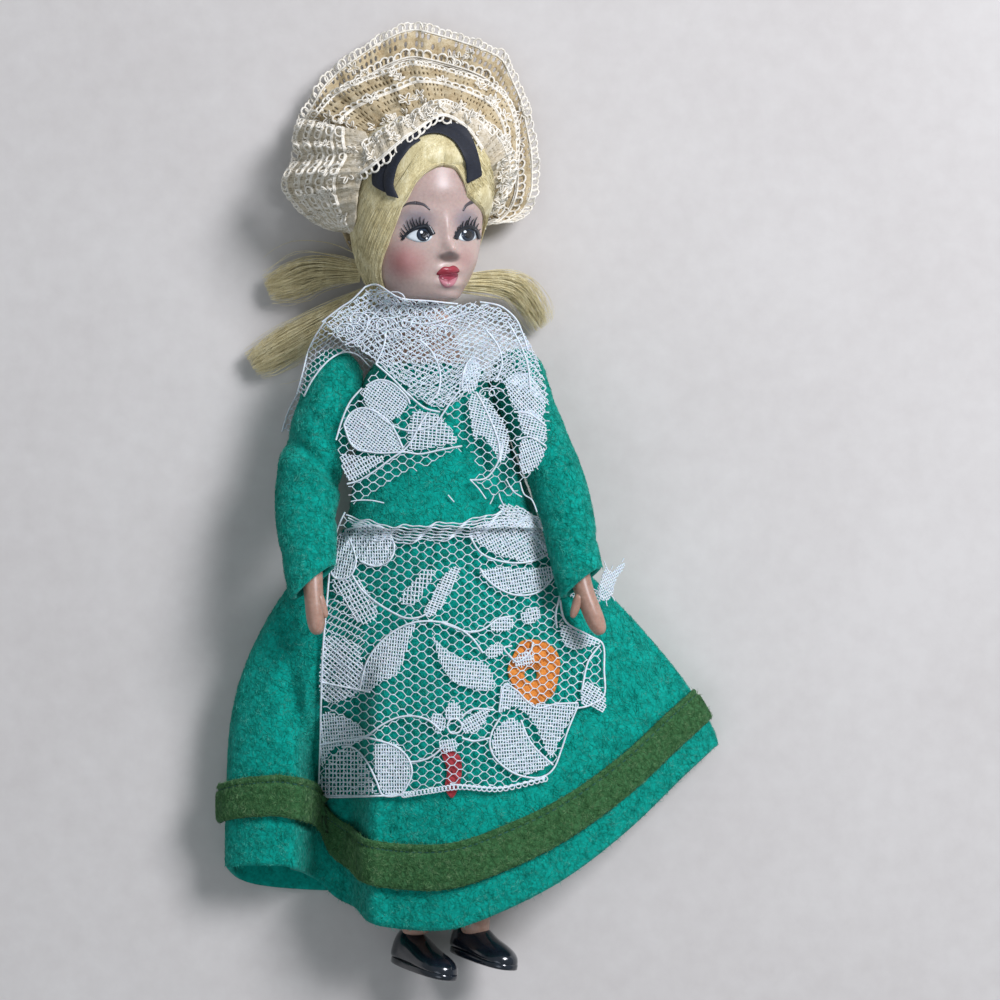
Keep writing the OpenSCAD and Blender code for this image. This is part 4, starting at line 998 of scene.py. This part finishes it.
enamel("lashes", ["#12151b", "#23272f"], [
    ([(402, 240), (407, 234), (413, 229.5), (421, 226.5), (428, 227), (433, 235)], 2.2, 6.0),
    ([(455, 239), (458.5, 232), (465, 227.5), (471, 227), (476, 231), (478.5, 239)], 5.0, 3.4),
    *strokes], 0.2)
enamel("brows", ["#3f3a3e", "#575054"], [
    ([(401.5, 207.5), (408, 203.6), (416, 202.8)], 1.0, 3.6),
    ([(416, 202.8), (424, 204.8), (430, 210)], 3.6, 1.2),
    ([(463, 211), (466, 205.6), (471, 202.4)], 1.4, 3.8),
    ([(471, 202.4), (475, 201.6), (479, 203.4)], 3.8, 1.0)], 0.06)
enamel("upper_lip", ["#8f2b38", "#a63a46"], [
    [(436.5, 274), (440, 269.5), (444, 266.8), (448.8, 267), (453, 265.6), (457, 267.4), (459.3, 271.5),
     (454, 273.5), (448, 274.6), (441, 275.6)]], 0.06)
enamel("mouth", ["#8a3444", "#9d4553"], [
    [(439, 275.5), (448, 274), (456.5, 272.6), (457, 276), (450, 280.5), (442, 280)]], 0.08)
enamel("lower_lip", ["#b06873", "#c07f88"], [
    [(438.3, 276.6), (443, 279.5), (450, 280), (457.6, 274.8), (456, 281.5), (452, 286.4), (447, 288),
     (442, 285)]], 0.06)

# Wig: pale mohair glued to the head, combed across the forehead and down both sides.
# A thin felted cap follows the hairline, and the combed strands lie on it.

# combed mohair: silky and streaked, with a pale sheen along the locks; its strands are drawn about five
# times as thick as real ones so that they show
mohair = coloured("Combed_mohair", ["#c0b180", "#dacd9c", "#efe6c0"], 1.6, (0.45, 0.65), (0.03, 0.2),
                  stretch=(1, 0.35, 1), Sheen_Weight=0.15)


def hairline(h, side):
    """The angle of the hairline at the share h, on the left (-1) or the right (1) as seen."""
    if side < 0:
        return np.interp(
            h, (0.06, 0.16, 0.3, 0.39, 0.5, 0.56, 0.632, 0.658, 0.686, 0.702, 0.718, 0.731, 0.737, 1),
            (-83, -77, -59, -51, -43, -37, -31.5, -28, -24, -20.5, -16.5, -12.5, -7, -6))
    return np.interp(
        h, (0.02, 0.24, 0.37, 0.47, 0.51, 0.54, 0.574, 0.64, 0.666, 0.694, 0.71, 0.724, 0.732, 0.737, 1),
        (96, 86, 78, 60, 40, 27, 15.5, 12.5, 10.5, 8.2, 6.5, 4, 0, -8, -9))


HAIR, EASE, BROW = 1.6, 22, 0.735  # thickness in mm, degrees that it builds up in, forehead's top
shares = np.concatenate([np.linspace(*ends) for ends in (
    (0.02, 0.69, 92), (0.695, 0.745, 26), (0.752, 0.995, 34))])
h_grid, c_grid = np.meshgrid(shares, np.linspace(0, 1, 110), indexing="ij")
right, left = hairline(h_grid, 1), 360 + hairline(h_grid, -1)
a_grid = lerp(right, left, c_grid)
inward = np.minimum(a_grid - right, left - a_grid) / EASE
thick = 0.15 + HAIR * np.clip(inward + np.maximum(0, h_grid - BROW) / 0.05, 0, 1) ** 0.6
cap = surface("wig_cap", head_spot(a_grid, h_grid, thick))
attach(dress(thicken(cap, 0.1), mohair, "mohair", "hair_cap"), "head")
strands = []
for side, many in ((-1, 760), (1, 520)):
    for k in range(many):
        q, t = chance.random() ** 1.2, np.linspace(0, 1, 14) ** 1.7 * chance.uniform(0.8, 1)
        top = 0.74 + 0.235 * q
        h = lerp(top, 0.02, t ** 1.15)
        off = q * 100 * np.sin(t * np.pi / 2) + 1.5
        a = hairline(h * BROW / top, side) + side * off + chance.normal(0, 1.2) + 1.5 * np.sin(t * 5 + k)
        grow = 0.25 + HAIR * np.minimum(1, off / EASE) ** 0.6 + chance.uniform(-0.1, 0.25)
        strands.append(head_spot(a, h, grow))
for _ in range(420):
    q, t = chance.random(), np.linspace(0, 1, 14)
    a = lerp(28, -46 - 20 * q, t) + chance.normal(0, 2)
    low = np.interp(a, (-60, -44, -37, -27, -17, -7, 2, 10, 28),
                    (0.42, 0.5, 0.575, 0.685, 0.73, 0.75, 0.765, 0.8, 0.9))
    h = np.minimum(0.97, low + 0.16 * q * (1 - 0.5 * t))
    grow = 0.3 + 1.45 * np.clip((h - low) / 0.05, 0, 1) ** 0.6 + chance.uniform(-0.1, 0.1)
    strands.append(head_spot(a, h, grow))
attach(threads("wig_strands", strands, 0.1, mohair, "mohair", taper=0.4), "head")

# Loose tufts: two bunches of the wig at the right shoulder and a thin one at the left, of the same mohair.
# Each is rooted in the head and its locks curl down to the table.
for name, node_name, root, bend, tip, spread, many in (  # root on the head; bend and tip from HEAD in mm
        ("tuft_right_upper", "right_tuft_upper",
         (224, 0.17, 2.2), (-21, 6.2, -10), (-30, 3, -12.4), 2.9, 420),
        ("tuft_right_lower", "right_tuft_lower",
         (221, 0.05, 2.2), (-23, -5.5, -10.5), (-33, -11.5, -12.6), 2.9, 520),
        ("tuft_left", "left_tuft", (84, 0.12, -2.5), (17.5, 3.4, -8.5), (23.4, -4, -12.6), 2.4, 260)):
    path = [head_spot(*root), HEAD + bend, HEAD + tip]
    strands = []
    for k in range(many):
        lock, wild = k % 9, 2.6 if k % 23 == 0 else 1
        s = np.linspace(0, 1.55 + 0.5 * chance.random() ** 0.7, 14)
        line = spline(path, s)
        way = np.gradient(line, axis=0)
        side = unit(np.cross(way, (0, 0, 1.0)))
        u, v = (lock - 4) * 0.17 + chance.normal(0, 0.3) * wild, chance.normal(0, 0.45) * wild
        wide = spread * (0.45 + 0.75 * np.sin(np.minimum(1, s / 1.7) * np.pi / 2) ** 1.5)
        wide = wide * (1 - 0.45 * np.maximum(0, s - 1.2))
        curl = 0.55 * np.sin(s * 3.2 + lock * 1.7) + 0.22 * np.sin(s * 7 + k)
        line = line + side * (u * wide + curl * s / 2)[:, None]
        line[:, 2] = np.maximum(0.3, line[:, 2] + v * wide * 0.6 + 0.35 * np.sin(s * 4 + 2 * lock))
        strands.append(line)
    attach(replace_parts(threads(name, strands, 0.09, mohair, "mohair", taper=0.25), node_name), "head")

# Bonnet: two tiers of straw-coloured guipure lace and three ivory ruffles, sewn to a crown behind the head,
# with white picot loops. The front ruffle stands up round the face, and the left lobe is folded forward.

# aged guipure lace is dry and dull like straw, the ivory one paler, both rough with close stitches;
# the twisted cotton of the loops is whiter and cleaner, so that each edge shows as a bright line
straw = coloured("Straw_guipure_lace", ["#a38c66", "#bfad89", "#d3c5a6"], 2.6, (0.85, 0.95), (0.14, 0.35))
ivory = coloured("Ivory_guipure_lace", ["#b3a68b", "#cdc2ab", "#dfd7c7"], 1.6, (0.85, 0.95), (0.14, 0.35))
picot_white = coloured("Twisted_cotton", ["#cfc6b2", "#eee8da", "#fbf8f0"], 0.8, (0.75, 0.9), (0.05, 0.25))


def steps(line):
    """The lengths of the steps along a line of points."""
    return np.linalg.norm(np.diff(line, axis=0), axis=1)


def along(line):
    """The distance of each point of a line from its start."""
    return np.concatenate([[0], np.cumsum(steps(line))])


def edge_line(points, n):
    """n even steps along a smooth line of (pixel x, pixel y, height in mm)."""
    line = smooth(points, 8)
    far = along(line[:, :2])
    return np.stack([np.interp(np.linspace(0, far[-1], n), far, line[:, k]) for k in range(3)], -1)


def pierce(obj, ratio, seed, rim):
    """Makes holes in a share of the faces of obj, picked by a seed, and leaves a rim in mm round each."""
    select(obj)
    bpy.ops.object.mode_set(mode="EDIT")
    bpy.ops.mesh.select_all(action="DESELECT")
    bpy.ops.mesh.select_mode(type="FACE")
    bpy.ops.mesh.select_random(ratio=ratio, seed=seed)
    bpy.ops.mesh.inset(thickness=rim * MM, use_individual=True)
    bpy.ops.mesh.delete(type="FACE")
    bpy.ops.object.mode_set(mode="OBJECT")
    return obj


def guipure(name, outer, inner, cols, rows, ruffle, seed, mat):
    """A lace tier between an outer and an inner edge, ruffled in z, with rows of small holes worked in it."""
    out, into = edge_line(outer, cols), edge_line(inner, cols)
    turn = np.linspace(0, ruffle[1] * 2 * np.pi, cols)
    wave = np.sin(turn + np.sin(turn * 0.37 + seed)) + 0.5 * np.sin(2.3 * turn + seed)
    grid = []
    for t in np.linspace(0, 1, rows):
        line = lerp(out, into, t)
        bulge = ruffle[2] * math.sin(math.pi * t)
        crumple = 0.35 * np.sin(1.7 * turn + 7 * t + seed) * np.sin(4.1 * t + 0.6 * turn)
        grid.append(plan(line[:, :2], line[:, 2] + ruffle[0] * (wave * (1 - 0.75 * t) + crumple) + bulge))
    tier = pierce(surface(name, grid), 0.65, seed, 0.24)
    return dress(thicken(tier, 0.45, 0, 1), mat, "straw_lace"), np.array(grid)


def picots(name, line, size, gap, lean):
    """A row of thread loops of a size in mm along a line of points in mm, leaning to one side of it."""
    far, t = along(line), np.linspace(0, 2 * np.pi, 11)[:, None]

    def at(points, d):
        """The value at the distance d along the line."""
        return np.array([np.interp(d, far, points[:, k]) for k in range(3)])

    found = [line + (0, 0, 0.25), line - lean * 0.35]
    for d in np.arange(gap / 2, far[-1], gap):
        way = at(line, d + 0.4) - at(line, d - 0.4)
        way /= np.linalg.norm(way) + 1e-9
        out = at(lean, d)
        r = size * chance.uniform(0.8, 1.2)
        middle = at(line, d) + out * r * 0.75
        found.append(middle + way * r * np.cos(t) + (out + (0, 0, chance.uniform(-0.3, 0.5))) * r * np.sin(t))
    return threads(name, found, 0.2, picot_white, "straw_lace", 1)


def rosettes(name, grid, many, size):
    """Small flowers of thread, their petals loops of a size in mm, strewn over a tier's upper face."""
    found = []
    for _ in range(many):
        r, c = chance.uniform(0.6, len(grid) - 2.6), chance.uniform(1, grid.shape[1] - 3)
        i, j = int(r), int(c)
        near, next_row = (lerp(row[j], row[j + 1], c - j) for row in (grid[i], grid[i + 1]))
        at = lerp(near, next_row, r - i)
        way, side = grid[i, j + 1] - grid[i, j], grid[i + 1, j] - grid[i, j]
        up = unit(np.cross(way, side))
        up = up * np.sign(up[2])
        way = unit(way)
        side = np.cross(up, way)
        t = np.linspace(0, 2 * np.pi, 31)[:, None] + chance.uniform(0, 6)
        far = size * chance.uniform(0.75, 1.2) * (0.62 + 0.38 * np.cos(5 * t))
        found.append(at + up * (0.4 + 0.15 * np.cos(5 * t)) + far * (way * np.cos(t) + side * np.sin(t)))
    return threads(name, found, 0.16, picot_white, "straw_lace")


def outward_of(grid, row, other):
    """Unit directions from one row of a tier away from another."""
    return unit(grid[row] - grid[other])


brim_out = [
    (488, 222, 6), (506, 222, 5.4), (522, 211, 5.2), (531, 192, 5), (532, 172, 5), (531, 150, 5),
    (526, 125, 5), (522, 104, 5), (512, 80, 5), (502, 60, 5), (484, 50, 5), (458, 41, 5),
    (434, 34, 5), (416, 30, 5), (400, 33, 5), (380, 43, 5), (360, 56, 5), (342, 69, 5), (324, 87, 5),
    (314, 104, 5), (304, 122, 5), (300, 145, 5), (298, 170, 5), (304, 195, 5), (318, 216, 5),
    (338, 228, 6)]
brim_in = [
    (476, 232, 4), (486, 205, 4), (490, 175, 4.2), (480, 145, 4.4), (455, 120, 4.4), (420, 112, 4.4),
    (385, 118, 4.4), (358, 140, 4.4), (346, 170, 4.4), (346, 205, 4), (356, 236, 4)]
tier_out = [
    (500, 200, 10), (512, 180, 10), (516, 150, 10), (514, 120, 10), (502, 95, 9.6), (478, 81, 9.4),
    (452, 73, 9.2), (430, 67, 9.2), (410, 65, 9.2), (388, 73, 9.2), (362, 82, 9.4), (336, 95, 9.6),
    (318, 114, 9.8), (308, 130, 10)]
tier_in = [
    (488, 190, 15), (490, 165, 17), (482, 138, 19), (466, 122, 20), (446, 112, 20.5), (428, 116, 20.5),
    (412, 124, 20), (396, 132, 19), (378, 140, 18), (364, 146, 17)]
right_out = [
    (476, 121, 20), (488, 128, 20), (500, 140, 19), (508, 158, 18), (510, 172, 16), (504, 190, 12),
    (498, 212, 8)]
right_in = [
    (474, 132, 21), (480, 145, 21), (484, 160, 20), (486, 175, 18), (486, 190, 15), (484, 205, 12),
    (482, 220, 8)]
lobe_out = [
    (304, 120, 11), (296, 140, 12), (302, 156, 15), (290, 172, 15), (287, 186, 14), (296, 203, 12),
    (310, 217, 10), (328, 228, 9), (346, 232, 9)]
lobe_in = [
    (366, 132, 23), (372, 148, 25.5), (370, 162, 27), (364, 174, 26.4), (360, 186, 25.6),
    (358, 198, 25), (357, 208, 24), (356, 220, 22.5), (354, 232, 20)]
front_out = [
    (492, 136, 20), (478, 120, 21.5), (462, 112, 22), (446, 104, 22.5), (430, 106, 23),
    (414, 116, 24.5), (398, 124, 26), (382, 134, 26), (366, 146, 25), (350, 154, 22.5),
    (334, 158, 19.5)]
front_in = [
    (482, 150, 22), (470, 132, 23), (458, 122, 24), (444, 116, 25), (432, 120, 26), (418, 130, 27.5),
    (406, 138, 28.4), (394, 148, 29), (380, 160, 28.6), (364, 172, 27), (346, 178, 22)]
tiers = [  # name, CAD node, edges, columns, rows, ruffle, seed, lace, rows with loops, flowers
    ("bonnet_brim_lace", "bonnet_brim", brim_out, brim_in, 96, 10, (0.5, 13, 0.3), 3, straw, (3,), 28),
    ("bonnet_tier_lace", "bonnet_tier", tier_out, tier_in, 76, 10, (0.7, 9, 1.2), 5, straw, (3,), 30),
    ("bonnet_right_ruffle", "bonnet_ruffle", right_out, right_in, 40, 6, (0.7, 5, 0.6), 8, ivory, (-1,), 8),
    ("bonnet_left_lobe", None, lobe_out, lobe_in, 56, 14, (1.1, 6, 2.4), 11, ivory, (2, 4, 6, 8), 16),
    ("bonnet_front_ruffle", None, front_out, front_in, 72, 6, (0.6, 9, 0.6), 14, ivory, (-1,), 20)]
for name, node_name, outer, inner, cols, rows, ruffle, seed, mat, looped, flowers in tiers:
    tier, grid = guipure(name, outer, inner, cols, rows, ruffle, seed, mat)
    if node_name:
        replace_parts(tier, node_name)
    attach(tier, "head")
    trims = [picots(name + "_picots", grid[0], 0.85, 1.25, outward_of(grid, 0, 2)),
             rosettes(name + "_rosettes", grid, flowers, 1.5)]
    for row in looped:
        trims.append(picots(f"{name}_picots_{row}", grid[row] + (0, 0, 0.4), 0.8, 1.5,
                            outward_of(grid, row, row - 2 if row < 0 else row + 2)))
    for trim in trims:
        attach(trim, "head")
    wide, deep = (steps(line).sum() * MM for line in (grid[rows // 2], grid[:, cols // 2]))

# Bonnet's crown: a shallow dish of the same straw lace behind the head, pierced like the tiers.
# The tiers are sewn to it; it is cut back at the lower right, where it would show beside the face.
CROWN_Y = 58.1  # the dish's middle, in mm
around = np.linspace(0, 2 * np.pi, 72, endpoint=False)
reach = 1 - 0.33 * bell(np.mod(around + 0.7 + np.pi, 2 * np.pi) - np.pi, 0.61)
crown_rows = []
for r, z in ((5.4, 0.5), (7, 0.5), (9, 0.5), (11, 0.55), (12.4, 0.7), (13.6, 1.4), (14.6, 2.3),
             (15.6, 3.2), (16.5, 4.1)):
    crown_rows.append(np.stack([HEAD[0] + r * reach * np.cos(around), CROWN_Y + r * reach * np.sin(around),
                                z + 0.1 * np.sin(around * 18)], -1))
crown = surface("bonnet_crown_lace", crown_rows, wrap=True)
pierce(crown, 0.5, 4, 0.25)
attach(dress(thicken(crown, 0.6, 0, 1), straw, "straw_lace", "bonnet_crown"), "head")

# Ribbon: black satin arched over the hair under the bonnet's front, its two ends hanging at the temples.
# A second, narrower end lies on it at the left; both are laid on the wig and cut at a slant.

# woven satin: near black, with a soft blue sheen along the ribbon
satin = coloured("Woven_black_satin", ["#0b0e15", "#141925", "#1e2636"], 0.5, (0.5, 0.65), (0.1, 0.3),
                 stretch=(1, 3, 1), Sheen_Weight=0.15, Specular_IOR_Level=0.35)
hair_trees = tree(cap), head_tree
FINE, LOWEST = 60, 24.2  # points along a ribbon, and its lowest height in mm
for name, nodes, path, wide, gap, dip in (
        ("ribbon_satin", ["bonnet_ribbon"], [
            (386, 200), (379, 178), (388, 158), (402, 142), (420, 129), (440, 126), (457, 133), (467, 146),
            (473, 164), (475, 184)], 17, 0.75, 0),
        ("ribbon_tail_satin", [], [
            (394, 201), (389, 184), (393, 166), (404, 148), (418, 136)], 11, 1.15, 0.9)):
    line = edge_line([(x, y, 0) for x, y in path], FINE)[:, :2]
    half = sideways(line) * (wide / 2 * (1 - 0.12 * np.sin(np.linspace(0, 9, FINE)) ** 2))[:, None]
    rows = []
    for t in (-1, -0.6, -0.2, 0.2, 0.6, 1):
        s = np.linspace(2.8 * (1 - t), FINE - 1 - 1.1 * (1 - t), FINE)
        rows.append(np.stack([np.interp(s, np.arange(FINE), column) for column in (line + half * t).T], -1))
    grid = seen_on(rows, hair_trees)
    grid[..., 2] = np.maximum(grid[..., 2], LOWEST) + gap
    for _ in range(8):
        grid[:, 1:-1, 2] = (grid[:, :-2, 2] + grid[:, 1:-1, 2] + grid[:, 2:, 2]) / 3
    grid[..., 2] += 0.25 * np.cos(np.linspace(-1, 1, len(rows)) * np.pi / 2)[:, None]
    grid[..., 2] -= dip * np.clip(np.linspace(-2, 1, FINE), 0, 1) ** 2
    ribbon = thicken(surface(name, grid), 0.22, 0, 1)
    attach(dress(ribbon, satin, "black_satin", *nodes), "head")
    length = steps(grid[2]).sum() * MM

# Arms: slim moulded arms with mitten hands, strung on the elastic through the shoulders.
# Each sleeve is a felt tube over its arm, sewn to the armhole, with an open cuff at the wrist.
arm_stations = [  # place from the shoulder (0) to the fingertips (3), half widths in mm
    (0, 2.6, 2.6), (0.08, 3.2, 3.2), (0.5, 3.2, 3.2), (1, 2.95, 2.95), (1.5, 2.6, 2.6), (1.9, 2.1, 2.1),
    (2.1, 1.9, 2.0), (2.3, 1.8, 2.1), (2.5, 1.85, 2.25), (2.68, 1.75, 2.1), (2.84, 1.45, 1.75),
    (2.94, 0.95, 1.2), (2.985, 0.45, 0.5)]
CAP_X, CAP_Y = 5.6, 7  # half widths in mm of the sleeve's cap
for name, side, full, outs, tilt, elbow in (  # outs: how far the arm stands out, in mm
        ("right", -1, 1.04, (5, 3.6, 2.6), 0.2, 1.0), ("left", 1, 0.92, (7.8, 11.5, 15.5), -0.12, 0.25)):
    root = SHOULDER + (side * 17.5, 0, 0)
    path = [root, root + (side * outs[0], -20, 4.5), root + (side * outs[1], -36.5, 11),
            root + (side * outs[2], -47, 11.5)]

    def arm_ring(s, across, up, n=18):
        """A ring across the arm at the place s between the shoulder and the fingertips."""
        way = spline(path, min(3, s + 0.1)) - spline(path, max(0, s - 0.1))
        return ring(spline(path, s), way, across, up, n)

    arm = surface(name + "_arm_moulding", [arm_ring(*place) for place in arm_stations], wrap=True, caps=True)
    thumb_way = np.array((-side * 0.3, -0.95, -0.05))
    thumb_root = spline(path, 2.2) + np.array((-side * 0.9, 0, 0.9))
    thumb = surface(name + "_thumb", [ring(thumb_root + thumb_way * t, thumb_way, r, r, 10) for t, r in (
        (0, 0.9), (1.5, 1.0), (3, 0.9), (4.2, 0.75), (4.9, 0.35))], wrap=True, caps=True)
    for piece in (arm, thumb):
        outward(apply(piece, "SUBSURF", levels=2))
    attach(dress(arm, flesh, "flesh_plastic", name + "_arm"), name + "_arm")
    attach(dress(thumb, flesh, "flesh_plastic"), name + "_arm")

    stack = [ring(root + (0, CAP_Y * math.sin(a), 0), DOWN, CAP_X * math.cos(a), CAP_Y * math.cos(a), 48)
             for a in map(math.radians, (86, 75, 60, 42, 22))]
    for s in np.linspace(0, 2.06, 48):
        across = np.interp(s, (0, 0.35, 1, 1.35, 1.7, 2),
                           (CAP_X, 5.6 * full, 5.7 * full, 5.4 * full, 5 * full, 4.6))
        up = np.interp(s, (0, 0.35, 0.7, 1, 1.35, 1.7, 2), (CAP_Y, 6.65, 6.02, 5.5, 5, 4.6, 4.3))
        loose_ring = arm_ring(s, across, up, 48)
        way = unit(loose_ring - loose_ring.mean(0))
        outer, front = side * way[:, 0], np.clip(0.35 + way[:, 2], 0, 1)
        crook = s - 0.84 + 0.14 * outer
        dent = elbow * (1.5 * bell(crook + 0.08, 0.075) - 0.8 * bell(crook - 0.07, 0.11)) * front
        dent = dent + 0.35 * bell(s - 0.5 + 0.2 * outer, 0.07) * front
        dent = dent + 0.3 * bell(s - 1.45 - 0.15 * outer, 0.08)
        slant = tilt * outer * np.clip((s - 1.2) / 0.8, 0, 1) ** 2
        slid = np.array([spline(path, s + d) for d in slant]) - spline(path, s)
        stack.append(loose_ring + slid - dent[:, None] * way)
    sleeve = surface(name + "_sleeve_felt", stack, wrap=True)
    nap(sleeve, 5000, teal_fibre, "green_felt", name + "_arm")
    dress(thicken(sleeve, FELT, levels=1), felt_teal, "green_felt", name + "_sleeve")
    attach(sleeve, name + "_arm")
